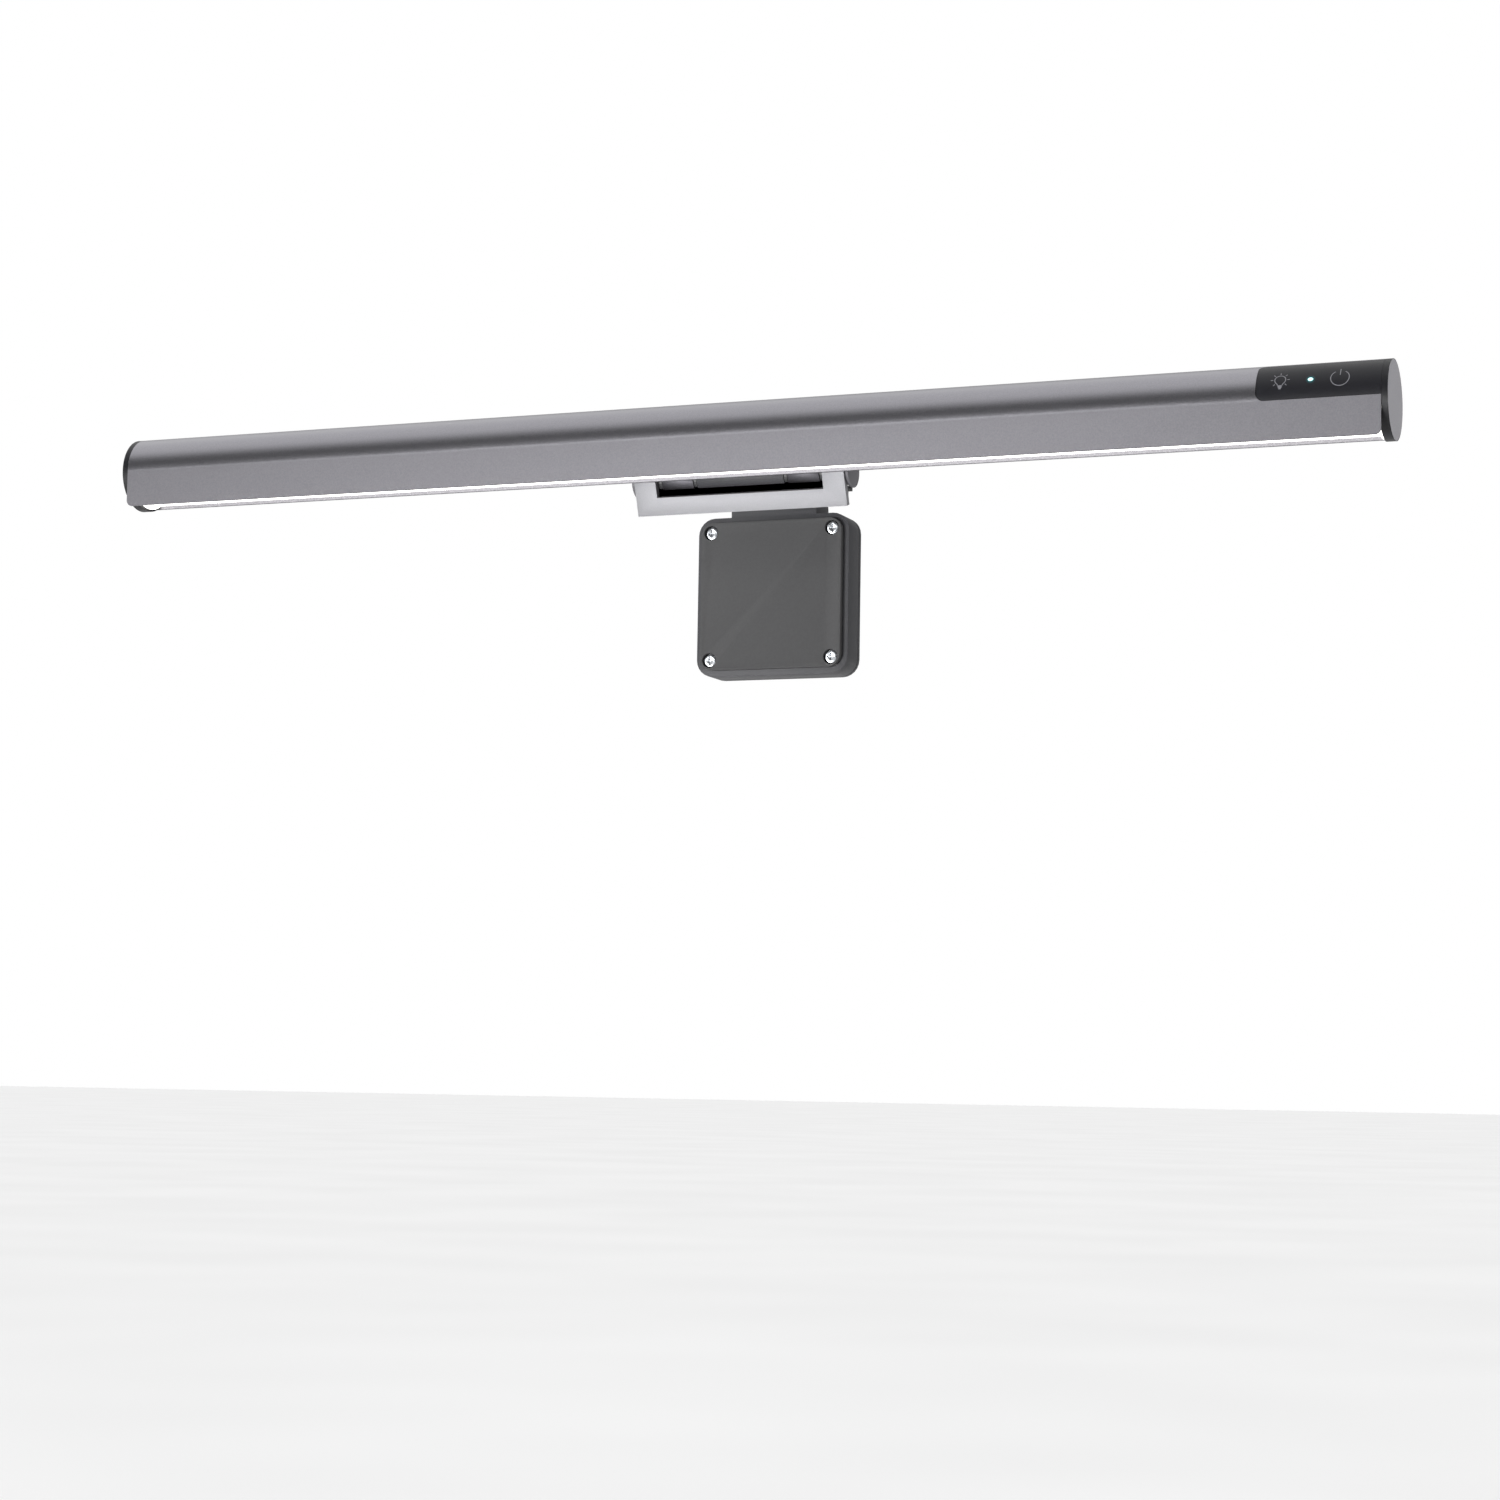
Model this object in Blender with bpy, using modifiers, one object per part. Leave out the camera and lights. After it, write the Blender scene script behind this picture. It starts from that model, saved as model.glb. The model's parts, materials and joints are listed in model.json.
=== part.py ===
"""Monitor light bar: an aluminium lamp on a three-way hinge, hung over a monitor's top edge.

Metres, +Z up, +X along the lamp towards its touch controls, -Y towards the person at the desk.
The origin is the centre of the front pad's contact face, where the clip bears on the monitor's front.
The lamp section is drawn round the lamp's own axis and the hinge parts round the hinge axis.
"""

import math

import bmesh
import bpy
from mathutils import Matrix, Vector

# Driving dimensions, in metres
GAP = 0.0003  # clearance between pieces that touch
LAMP_LENGTH = 0.450
TUBE_RADIUS = 0.0128
TUBE_WALL = 0.0012
VISOR_DROP = 0.01305  # the visor's lower edge, below the lamp axis
VISOR_THICKNESS = 0.0009
VISOR_CORNER = 0.0020
CAP_THICKNESS = 0.0019  # the end caps' visible rim
DISC_RADIUS = 0.01250
MONITOR_TOP = 0.0025  # the monitor's top edge, above the origin
LAMP_AXIS = Vector((0.0, -0.0226, 0.0168))
HINGE_AXIS = Vector((0.0, -0.0006, 0.00883))
HINGE_RADIUS = 0.00485
PIN_RADIUS = 0.0015
PIN_HOLE_RADIUS = 0.0016

# The claw, a flat plate that leans back to the monitor
CLAW_TILT = math.radians(20.9)
CLAW_FOOT = Vector((0.0, -0.00295, -0.0037))  # lower edge of its front face
CLAW_WIDTH = 0.0763
CLAW_THICKNESS = 0.0025
CLAW_LENGTH = 0.0160
WINDOW_WIDTH = 0.0607
CLAW_BAR = 0.0062  # height of the bar below the window
REST_DEPTH = 0.0040  # how far the pad reaches over the monitor's top edge

# Where the hinge's knuckles and washers lie, as distances from the middle
MIDDLE_KNUCKLE = 0.0158
INNER_WASHER = (0.0160, 0.0170)
LAMP_KNUCKLE = (0.0172, 0.0286)
OUTER_WASHER = (0.0288, 0.0302)
OUTER_KNUCKLE = (0.0304, CLAW_WIDTH / 2)
PIN_CAP = (CLAW_WIDTH / 2 + 0.0002, CLAW_WIDTH / 2 + 0.0013)
PIN_CAP_RADIUS = 0.0059

# The lamp's section, round the lamp axis; polar angles run from +Y (back) over +Z (top)
INNER_RADIUS = TUBE_RADIUS - TUBE_WALL
LIP_FRONT = 0.0068  # the back lip's inner face, behind the lamp axis
LIP_THICKNESS = 0.0009
LIP_DROP = 0.0111  # its lower edge, below the lamp axis
WEB_TOP = -0.0018
WEB_BOTTOM = -0.0030
BOSS_RING = 0.0096  # distance of the screw channels from the lamp axis
BOSS_RADIUS = 0.0023
BOSS_ANGLES = (96.0, 16.0)
SCREW_CHANNEL_RADIUS = 0.0012
ARC_STEP = 6.0  # degrees between points on round stretches
HOUSING_END = LAMP_LENGTH / 2 - CAP_THICKNESS - 0.0002
INSIDE_END = HOUSING_END - 0.0046  # the LED board and the reflector stop here
SILL = HOUSING_END - 0.0010  # the caps close the open side from here outwards
DIFFUSER_RADIUS = 0.0110
DIFFUSER_WALL = 0.0010
DIFFUSER_BACK = -36.0  # it runs up behind the lip to here
LINER_BACK = -32.0  # the white liner stops above it
FLANGE_RADIUS = 0.0120  # of the diffuser's ends, against the caps

# The touch panel, on the tube's front at the right-hand end
PANEL_LEFT = 0.1840
PANEL_LOW = -2.0  # degrees above the horizontal, seen from the front
PANEL_HIGH = 68.0
PANEL_WALL = TUBE_WALL
PANEL_CORNER = 0.0024
PANEL_SEAM = 0.00015
ICON_ANGLE = 26.0
BULB_X, LED_X, POWER_X = 0.1915, 0.2010, 0.2101

# Boards inside the lamp
BOARD_THICKNESS = 0.0012
DRIVER_X = (0.055, 0.216)
DRIVER_WIDTH = 0.0180
DRIVER_TOP = -0.0001
LED_BOARD_WIDTH = 0.0100
LED_BOARD_TOP = WEB_BOTTOM - GAP
LED_COUNT = 36
LED_PITCH = 0.012
USB_X = 0.070
USB_HEIGHT = 0.00185  # of the socket's centre above the lamp axis
USB_SHELL = (0.00894, 0.00326)
USB_Y = (0.0052, 0.0122)

# The saddle that carries the lamp
SADDLE_INNER = TUBE_RADIUS + GAP
SADDLE_OUTER = SADDLE_INNER + 0.0020
SADDLE_ANGLES = (-34.0, 52.0)
SADDLE_SCREW_ANGLES = (16.0, 40.0)
SADDLE_SCREW_X = 0.0229
ARM_THICKNESS = 0.0044

# The counterweight arm behind the monitor
ARM_UNDERSIDE = 0.0060
ARM_TOP = 0.0106
REAR_FRONT = 0.0275  # its inner face; the pad stands forward of it
REAR_BACK = 0.0400
REAR_WIDTH = 0.0560
REAR_BOTTOM = -0.0560
REAR_WALL = 0.0020
REAR_BEND = 0.0090
PAD_THICKNESS = 0.0024

MAKER = {}


def material(name, colour, roughness, metallic=0.0):
    """A plain Principled BSDF, made once for each name."""
    if name not in MAKER:
        made = bpy.data.materials.new(name)
        made.use_nodes = True
        shader = made.node_tree.nodes["Principled BSDF"]
        shader.inputs["Base Color"].default_value = (*colour, 1.0)
        shader.inputs["Roughness"].default_value = roughness
        shader.inputs["Metallic"].default_value = metallic
        made.diffuse_color = (*colour, 1.0)
        MAKER[name] = made
    return MAKER[name]


def space_grey():
    return material("space grey anodised aluminium", (0.26, 0.26, 0.28), 0.42, 0.9)


def silver():
    return material("silver painted zinc", (0.55, 0.55, 0.57), 0.45, 0.6)


def black_plastic():
    return material("black ABS", (0.02, 0.02, 0.024), 0.38)


def dark_grey():
    return material("dark grey ABS", (0.07, 0.07, 0.075), 0.45)


def silicone():
    return material("black silicone", (0.03, 0.03, 0.03), 0.75)


def steel():
    return material("zinc plated steel", (0.6, 0.6, 0.6), 0.35, 1.0)


def white_plastic():
    return material("opal polycarbonate", (0.9, 0.9, 0.88), 0.4)


def circuit_board():
    return material("white solder mask", (0.75, 0.77, 0.75), 0.5)


def clear_scene():
    for obj in list(bpy.data.objects):
        bpy.data.objects.remove(obj, do_unlink=True)


def collection(name):
    made = bpy.data.collections.new(name)
    bpy.context.scene.collection.children.link(made)
    return made


def polar(radius, degrees):
    """(y, z) from the lamp axis or the hinge axis."""
    angle = math.radians(degrees)
    return (radius * math.cos(angle), radius * math.sin(angle))


def arc(radius, start, end, step=ARC_STEP):
    """Points along an arc round the axis, both ends included."""
    count = max(2, math.ceil(abs(end - start) / step))
    return [polar(radius, start + (end - start) * i / count) for i in range(count + 1)]


def place(obj, paint, group):
    """Puts a new object in its collection and gives it its material."""
    for old in list(obj.users_collection):
        old.objects.unlink(obj)
    group.objects.link(obj)
    obj.data.materials.clear()
    obj.data.materials.append(paint)
    return obj


def as_mesh(curve_object):
    """A curve turned into a mesh object of the same name, with its caps welded on."""
    bpy.context.view_layer.update()
    graph = bpy.context.evaluated_depsgraph_get()
    mesh = bpy.data.meshes.new_from_object(curve_object.evaluated_get(graph))
    work = bmesh.new()
    work.from_mesh(mesh)
    bmesh.ops.remove_doubles(work, verts=work.verts, dist=1e-6)
    bmesh.ops.recalc_face_normals(work, faces=work.faces)
    work.to_mesh(mesh)
    work.free()
    name = curve_object.name
    groups = list(curve_object.users_collection)
    matrix = curve_object.matrix_world.copy()
    bpy.data.objects.remove(curve_object)
    made = bpy.data.objects.new(name, mesh)
    made.matrix_world = matrix
    for group in groups:
        group.objects.link(made)
    return made


def outline(name, loops, thickness):
    """A flat 2D outline, with holes, extruded to its thickness."""
    curve = bpy.data.curves.new(name, "CURVE")
    curve.dimensions = "2D"
    curve.fill_mode = "BOTH"
    curve.extrude = thickness / 2
    for loop in loops:
        spline = curve.splines.new("POLY")
        spline.points.add(len(loop) - 1)
        for point, (u, v) in zip(spline.points, loop):
            point.co = (u, v, 0.0, 1.0)
        spline.use_cyclic_u = True
    made = bpy.data.objects.new(name, curve)
    bpy.context.scene.collection.objects.link(made)
    return made


def profile(name, loops, x_range, paint, group, axis=LAMP_AXIS):
    """A section in (y, z) round an axis, extruded along X between two places."""
    start, end = x_range
    made = outline(name, loops, end - start)
    made.rotation_euler = (math.radians(90), 0.0, math.radians(90))
    made.location = axis + Vector(((start + end) / 2, 0.0, 0.0))
    return place(as_mesh(made), paint, group)


def box(name, low, high, paint, group, matrix=None):
    """A box between two corners, moved by a matrix if one is given."""
    low, high = Vector(low), Vector(high)
    work = bmesh.new()
    bmesh.ops.create_cube(work, size=1.0)
    bmesh.ops.scale(work, vec=high - low, verts=work.verts)
    mesh = bpy.data.meshes.new(name)
    work.to_mesh(mesh)
    work.free()
    made = bpy.data.objects.new(name, mesh)
    bpy.context.scene.collection.objects.link(made)
    made.matrix_world = (matrix or Matrix.Identity(4)) @ Matrix.Translation((low + high) / 2)
    return place(made, paint, group)


def cylinder(name, radius, start, end, paint, group, segments=32, top_radius=None):
    """A cylinder or cone from one point to another."""
    start, end = Vector(start), Vector(end)
    direction = end - start
    work = bmesh.new()
    bmesh.ops.create_cone(
        work,
        cap_ends=True,
        segments=segments,
        radius1=radius,
        radius2=radius if top_radius is None else top_radius,
        depth=direction.length,
    )
    mesh = bpy.data.meshes.new(name)
    work.to_mesh(mesh)
    work.free()
    made = bpy.data.objects.new(name, mesh)
    bpy.context.scene.collection.objects.link(made)
    made.rotation_mode = "QUATERNION"
    made.rotation_quaternion = direction.to_track_quat("Z", "Y")
    made.location = (start + end) / 2
    return place(made, paint, group)


def boolean(obj, other, operation):
    """Cuts other from obj, or joins it on, and hides other."""
    modifier = obj.modifiers.new(operation.title(), "BOOLEAN")
    modifier.operation = operation
    modifier.object = other
    other.hide_render = True
    other.display_type = "WIRE"


def rounded(obj, width, segments=2, angle=40.0):
    """Rounded edges wherever faces meet at more than an angle."""
    modifier = obj.modifiers.new("Rounded edges", "BEVEL")
    modifier.width = width
    modifier.segments = segments
    modifier.limit_method = "ANGLE"
    modifier.angle_limit = math.radians(angle)
    modifier.use_clamp_overlap = True


def smooth(obj, degrees=30.0):
    obj.data.shade_smooth()
    obj.data.set_sharp_from_angle(angle=math.radians(degrees))


def round_rectangle(left, low, right, high, radii, step=22.5):
    """Outline of a rectangle, with its four corner radii from lower left, going anticlockwise."""
    corners = ((left, low, 180), (right, low, 270), (right, high, 0), (left, high, 90))
    points = []
    for (x, y, start), radius in zip(corners, radii):
        if radius == 0:
            points.append((x, y))
            continue
        centre_x = x + (radius if x == left else -radius)
        centre_y = y + (radius if y == low else -radius)
        for i in range(int(90 / step) + 1):
            dy, dz = polar(radius, start + i * step)
            points.append((centre_x + dy, centre_y + dz))
    return points


def inner_radius(degrees, clearance):
    """Distance from the lamp axis to the tube's inside, in a given direction, less a clearance."""
    found = INNER_RADIUS - clearance
    channel = BOSS_RADIUS + 1.6 * clearance
    for boss in BOSS_ANGLES:
        sideways = BOSS_RING * math.sin(math.radians(degrees - boss))
        if abs(degrees - boss) < 90 and abs(sideways) < channel:
            along = BOSS_RING * math.cos(math.radians(degrees - boss))
            found = min(found, along - math.sqrt(channel**2 - sideways**2))
    return found


def chamber_outline(clearance=0.0):
    """The tube's inside above the web, with the screw channels standing into it."""
    lowest = math.degrees(math.asin(WEB_TOP / INNER_RADIUS))
    count = 36
    angles = [lowest + (180 - 2 * lowest) * i / count for i in range(count + 1)]
    points = [polar(inner_radius(angle, clearance), angle) for angle in angles]
    return [(y, max(z, WEB_TOP + clearance)) for y, z in points]


# ---------------------------------------------------------------- the lamp


def lamp_housing(parts, cutters):
    """One extrusion: tube, flat visor in front, short lip at the back, web and two screw channels."""
    web_back = math.degrees(math.asin(WEB_BOTTOM / INNER_RADIUS))
    lip_back = LIP_FRONT + LIP_THICKNESS
    outer = [(-TUBE_RADIUS, -VISOR_DROP)]
    outer += arc(TUBE_RADIUS, 180.0, -math.degrees(math.acos(lip_back / TUBE_RADIUS)))
    outer += [(lip_back, -LIP_DROP), (LIP_FRONT, -LIP_DROP)]
    outer += arc(INNER_RADIUS, -math.degrees(math.acos(LIP_FRONT / INNER_RADIUS)), web_back)
    visor_inside = -TUBE_RADIUS + VISOR_THICKNESS
    outer += [(visor_inside, WEB_BOTTOM), (visor_inside, -VISOR_DROP)]
    channels = []
    for boss in BOSS_ANGLES:
        y, z = polar(BOSS_RING, boss)
        ring = [polar(SCREW_CHANNEL_RADIUS, i * 36.0) for i in range(10)]
        channels.append([(y + dy, z + dz) for dy, dz in ring])
    loops = [outer, chamber_outline(), *channels]
    housing = profile("lamp_housing", loops, (-HOUSING_END, HOUSING_END), space_grey(), parts)

    boolean(housing, panel_prism("panel_slot", PANEL_SEAM, cutters), "DIFFERENCE")
    for side in (-1, 1):
        corner = visor_corner_cutter(side, cutters)
        boolean(housing, corner, "DIFFERENCE")
    slot = stadium("usb_slot", USB_SHELL[0] + 0.0009, USB_SHELL[1] + 0.0009, (0.0045, 0.0140), cutters)
    boolean(housing, slot, "DIFFERENCE")
    wire_slot = box(
        "wire_slot",
        LAMP_AXIS + Vector((0.0490, -0.0035, WEB_BOTTOM - 0.001)),
        LAMP_AXIS + Vector((0.0535, 0.0035, WEB_TOP + 0.001)),
        space_grey(),
        cutters,
    )
    boolean(housing, wire_slot, "DIFFERENCE")
    for x in BOARD_SCREW_X:
        hole = cylinder(
            f"board_screw_hole_{x:.3f}",
            0.0012,
            LAMP_AXIS + Vector((x, 0.0, WEB_BOTTOM - 0.001)),
            LAMP_AXIS + Vector((x, 0.0, WEB_TOP + 0.001)),
            space_grey(),
            cutters,
            12,
        )
        boolean(housing, hole, "DIFFERENCE")
    for index, (start, end) in enumerate(saddle_screw_lines(0.0070, 0.0145)):
        hole = cylinder(f"saddle_hole_{index}", 0.0014, start, end, space_grey(), cutters, 12)
        boolean(housing, hole, "DIFFERENCE")
    smooth(housing)
    return housing


def visor_corner_cutter(side, cutters):
    """Takes the lower corner off the visor's end: a square with a quarter circle left in it."""
    radius = VISOR_CORNER
    end = side * HOUSING_END
    centre_x = end - side * radius
    centre_z = -VISOR_DROP + radius
    beyond = 0.002
    start = 180 if side < 0 else 360
    quarter = [polar(radius, start + side * -i * 15.0) for i in range(7)]
    points = [(centre_x + dx, centre_z + dz) for dx, dz in quarter]
    points += [(centre_x, -VISOR_DROP - beyond), (end + side * beyond, -VISOR_DROP - beyond)]
    points += [(end + side * beyond, centre_z)]
    cutter = outline(f"visor_corner_{'left' if side < 0 else 'right'}", [points], 0.006)
    cutter.rotation_euler = (math.radians(90), 0.0, 0.0)
    cutter.location = LAMP_AXIS + Vector((0.0, -TUBE_RADIUS, 0.0))
    return place(as_mesh(cutter), space_grey(), cutters)


def panel_direction():
    """Unit vector outwards through the middle of the touch panel."""
    middle = math.radians((PANEL_LOW + PANEL_HIGH) / 2)
    return Vector((0.0, -math.cos(middle), math.sin(middle)))


def panel_prism(name, margin, cutters):
    """A rounded rectangle that runs outwards through the tube's wall, the panel's size plus a margin."""
    half = math.radians((PANEL_HIGH - PANEL_LOW) / 2)
    half_height = TUBE_RADIUS * math.sin(half) + margin
    loop = round_rectangle(
        PANEL_LEFT - margin,
        -half_height,
        HOUSING_END + 0.010,
        half_height,
        (PANEL_CORNER + margin, 0, 0, PANEL_CORNER + margin),
    )
    depth_low, depth_high = 0.0087, 0.0160
    prism = outline(name, [loop], depth_high - depth_low)
    outward = panel_direction()
    along = Vector((1.0, 0.0, 0.0))
    across = outward.cross(along)
    matrix = Matrix((along, across, outward)).transposed().to_4x4()
    matrix.translation = LAMP_AXIS + outward * (depth_low + depth_high) / 2
    prism.matrix_world = matrix
    return place(as_mesh(prism), black_plastic(), cutters)


def control_panel(parts, cutters):
    """Black touch panel, flush with the tube, with an oval hole for the indicator."""
    shell = arc(TUBE_RADIUS, 106.0, 190.0, 4.0) + arc(TUBE_RADIUS - PANEL_WALL, 190.0, 106.0, 4.0)
    panel = profile(
        "control_panel", [shell], (PANEL_LEFT - 0.002, HOUSING_END), black_plastic(), parts
    )
    boolean(panel, panel_prism("panel_shape", 0.0, cutters), "INTERSECT")
    boolean(panel, indicator_body("indicator_hole", 0.0011, 0.0060, 0.0160, cutters), "DIFFERENCE")
    smooth(panel)


def icon_direction():
    angle = math.radians(ICON_ANGLE)
    return Vector((0.0, -math.cos(angle), math.sin(angle)))


def indicator_body(name, radius, depth_low, depth_high, group):
    """An oval rod, wider along the lamp than across it, through the panel at the indicator."""
    outward = icon_direction()
    start = LAMP_AXIS + Vector((LED_X, 0.0, 0.0)) + outward * depth_low
    end = LAMP_AXIS + Vector((LED_X, 0.0, 0.0)) + outward * depth_high
    rod = cylinder(name, radius, start, end, white_plastic(), group, 16)
    along_x = rod.rotation_quaternion.inverted() @ Vector((1.0, 0.0, 0.0))
    narrow = Matrix.Scale(0.72, 4, along_x.cross(Vector((0.0, 0.0, 1.0))))
    rod.data.transform(narrow)
    return rod


def end_cap(side, parts, cutters):
    """Black plug for the tube's end, with a recess for the disc and two sunk screw holes."""
    word = "left" if side < 0 else "right"
    seat = side * (HOUSING_END + 0.0002)
    outside = side * LAMP_LENGTH / 2
    ring = arc(TUBE_RADIUS, 0.0, 352.0, 8.0)
    cap = profile(f"end_cap_{word}", [ring], sorted((seat, outside)), black_plastic(), parts)

    inside = side * (HOUSING_END - 0.0040)
    overlap = seat + side * 0.0005
    upper = profile(
        f"cap_plug_upper_{word}",
        [chamber_outline(GAP)],
        sorted((inside, overlap)),
        black_plastic(),
        cutters,
    )
    boolean(cap, upper, "UNION")
    boolean(cap, cap_plug_lower(word, sorted((inside, overlap)), cutters), "UNION")
    boolean(cap, cap_sill(word, sorted((side * SILL, overlap)), cutters), "UNION")

    recess_floor = outside - side * 0.0007
    recess = cylinder(
        f"disc_recess_{word}",
        DISC_RADIUS + 0.00012,
        LAMP_AXIS + Vector((recess_floor, 0.0, 0.0)),
        LAMP_AXIS + Vector((outside + side * 0.001, 0.0, 0.0)),
        black_plastic(),
        cutters,
        48,
    )
    boolean(cap, recess, "DIFFERENCE")
    for index, boss in enumerate(BOSS_ANGLES):
        y, z = polar(BOSS_RING, boss)
        centre = LAMP_AXIS + Vector((0.0, y, z))
        along = Vector((side, 0.0, 0.0))
        hole = cylinder(
            f"cap_hole_{word}_{index}",
            0.0014,
            centre + along * (HOUSING_END - 0.006),
            centre + along * (LAMP_LENGTH / 2 + 0.001),
            black_plastic(),
            cutters,
            16,
        )
        boolean(cap, hole, "DIFFERENCE")
        head_seat = cylinder(
            f"cap_counterbore_{word}_{index}",
            0.0023,
            centre + along * (LAMP_LENGTH / 2 - 0.00155),
            centre + along * (LAMP_LENGTH / 2 + 0.001),
            black_plastic(),
            cutters,
            20,
        )
        boolean(cap, head_seat, "DIFFERENCE")
    smooth(cap)


def cap_plug_lower(word, x_range, cutters):
    """The plug's lower half: it fills the end of the light chamber, above the diffuser."""
    radius = DIFFUSER_RADIUS - DIFFUSER_WALL - GAP
    back = math.degrees(math.asin((WEB_BOTTOM - GAP) / radius))
    loop = arc(radius, back, -180.0 - back)
    return profile(f"cap_plug_lower_{word}", [loop], x_range, black_plastic(), cutters)


def cap_sill(word, x_range, cutters):
    """The cap's inward step that closes the tube's open side, flush with the tube."""
    front_limit = -TUBE_RADIUS + VISOR_THICKNESS + GAP
    front = -math.degrees(math.acos(front_limit / TUBE_RADIUS))
    back_limit = LIP_FRONT - GAP
    inner = DIFFUSER_RADIUS - DIFFUSER_WALL - 0.0010
    inner_back = -46.0
    loop = arc(TUBE_RADIUS, front, -math.degrees(math.acos(back_limit / TUBE_RADIUS)))
    loop += [(back_limit, polar(inner, inner_back)[1])]
    loop += arc(inner, inner_back, -180.0 + 30.0)
    return profile(f"cap_sill_{word}", [loop], x_range, black_plastic(), cutters)


def end_disc(side, parts):
    """Thin grey disc that hides an end cap's screws."""
    word = "left" if side < 0 else "right"
    x_range = sorted((side * (LAMP_LENGTH / 2 - 0.0005), side * LAMP_LENGTH / 2))
    ring = arc(DISC_RADIUS, 0.0, 352.5, 7.5)
    disc = profile(f"end_disc_{word}", [ring], x_range, space_grey(), parts)
    smooth(disc)


def screw(name, head_centre, direction, head_radius, head_height, shank_radius, length, parts, cutters):
    """A pan-head screw: its direction runs from the head to the tip, and its head has a cross slot."""
    direction = Vector(direction).normalized()
    head_centre = Vector(head_centre)
    underside = head_centre + direction * head_height
    body = cylinder(
        name, head_radius, head_centre, underside, steel(), parts, 16, top_radius=head_radius * 0.97
    )
    shank = cylinder(
        f"{name}_shank",
        shank_radius,
        head_centre + direction * head_height * 0.5,
        head_centre + direction * (head_height + length),
        steel(),
        cutters,
        10,
    )
    boolean(body, shank, "UNION")
    turn = direction.to_track_quat("Z", "Y").to_matrix().to_4x4()
    for index, (wide, deep) in enumerate(((1.3, 0.22), (0.22, 1.3))):
        matrix = Matrix.Translation(head_centre) @ turn
        slot = box(
            f"{name}_slot_{index}",
            (-head_radius * wide / 2, -head_radius * deep / 2, -head_height),
            (head_radius * wide / 2, head_radius * deep / 2, head_height * 0.45),
            steel(),
            cutters,
            matrix,
        )
        boolean(body, slot, "DIFFERENCE")
    smooth(body)
    return body


def end_screws(parts, cutters):
    """Two screws at each end, through the cap into the extrusion's screw channels."""
    for side, word in ((-1, "left"), (1, "right")):
        for index, boss in enumerate(BOSS_ANGLES):
            y, z = polar(BOSS_RING, boss)
            head = LAMP_AXIS + Vector((side * (LAMP_LENGTH / 2 - 0.0008), y, z))
            screw(
                f"end_screw_{word}_{index + 1}",
                head,
                (-side, 0.0, 0.0),
                0.0020,
                0.0006,
                0.0009,
                0.0075,
                parts,
                cutters,
            )


def diffuser(parts, cutters):
    """Opal strip under the light chamber, held by the back lip, with a flange at each end."""
    inner = DIFFUSER_RADIUS - DIFFUSER_WALL
    loop = arc(DIFFUSER_RADIUS, -155.0, DIFFUSER_BACK) + arc(inner, DIFFUSER_BACK, -155.0)
    end = SILL - GAP
    made = profile("diffuser", [loop], (-end, end), white_plastic(), parts)
    flange = arc(FLANGE_RADIUS, -150.0, -58.5) + arc(inner + 0.0003, -58.5, -150.0)
    for side in (-1, 1):
        ends = sorted((side * end, side * (end - 0.0006)))
        name = f"diffuser_flange_{'left' if side < 0 else 'right'}"
        boolean(made, profile(name, [flange], ends, white_plastic(), cutters), "UNION")
    smooth(made)


def light_reflector(parts, cutters):
    """White liner over the LED board and down the tube's back wall, with a long slot for the LEDs."""
    top = LED_BOARD_TOP - BOARD_THICKNESS - 0.00035
    bottom = top - 0.0004
    liner_outer, liner_inner = INNER_RADIUS - 0.0004, INNER_RADIUS - 0.0008
    front = -0.0082
    top_angle = math.degrees(math.asin(top / liner_outer))
    bottom_angle = math.degrees(math.asin(bottom / liner_inner))
    loop = [(front, top)] + arc(liner_outer, top_angle, LINER_BACK)
    loop += arc(liner_inner, LINER_BACK, bottom_angle) + [(front, bottom)]
    made = profile("light_reflector", [loop], (-INSIDE_END, INSIDE_END), white_plastic(), parts)
    slot_end = INSIDE_END - 0.002
    slot = box(
        "led_slot",
        LAMP_AXIS + Vector((-slot_end, -0.0022, bottom - 0.001)),
        LAMP_AXIS + Vector((slot_end, 0.0022, top + 0.001)),
        white_plastic(),
        cutters,
    )
    boolean(made, slot, "DIFFERENCE")
    smooth(made)


def led_board(parts, cutters):
    """Long board on the underside of the web, with its LEDs soldered on, facing down."""
    low = LED_BOARD_TOP - BOARD_THICKNESS
    half = LED_BOARD_WIDTH / 2
    board = box(
        "led_board",
        LAMP_AXIS + Vector((-INSIDE_END, -half, low)),
        LAMP_AXIS + Vector((INSIDE_END, half, LED_BOARD_TOP)),
        circuit_board(),
        parts,
    )
    for index in range(LED_COUNT):
        x = (index - (LED_COUNT - 1) / 2) * LED_PITCH
        chip = box(
            f"led_{index + 1}",
            LAMP_AXIS + Vector((x - 0.00175, -0.0014, low - 0.0007)),
            LAMP_AXIS + Vector((x + 0.00175, 0.0014, low + 0.0003)),
            white_plastic(),
            cutters,
        )
        boolean(board, chip, "UNION")


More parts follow.
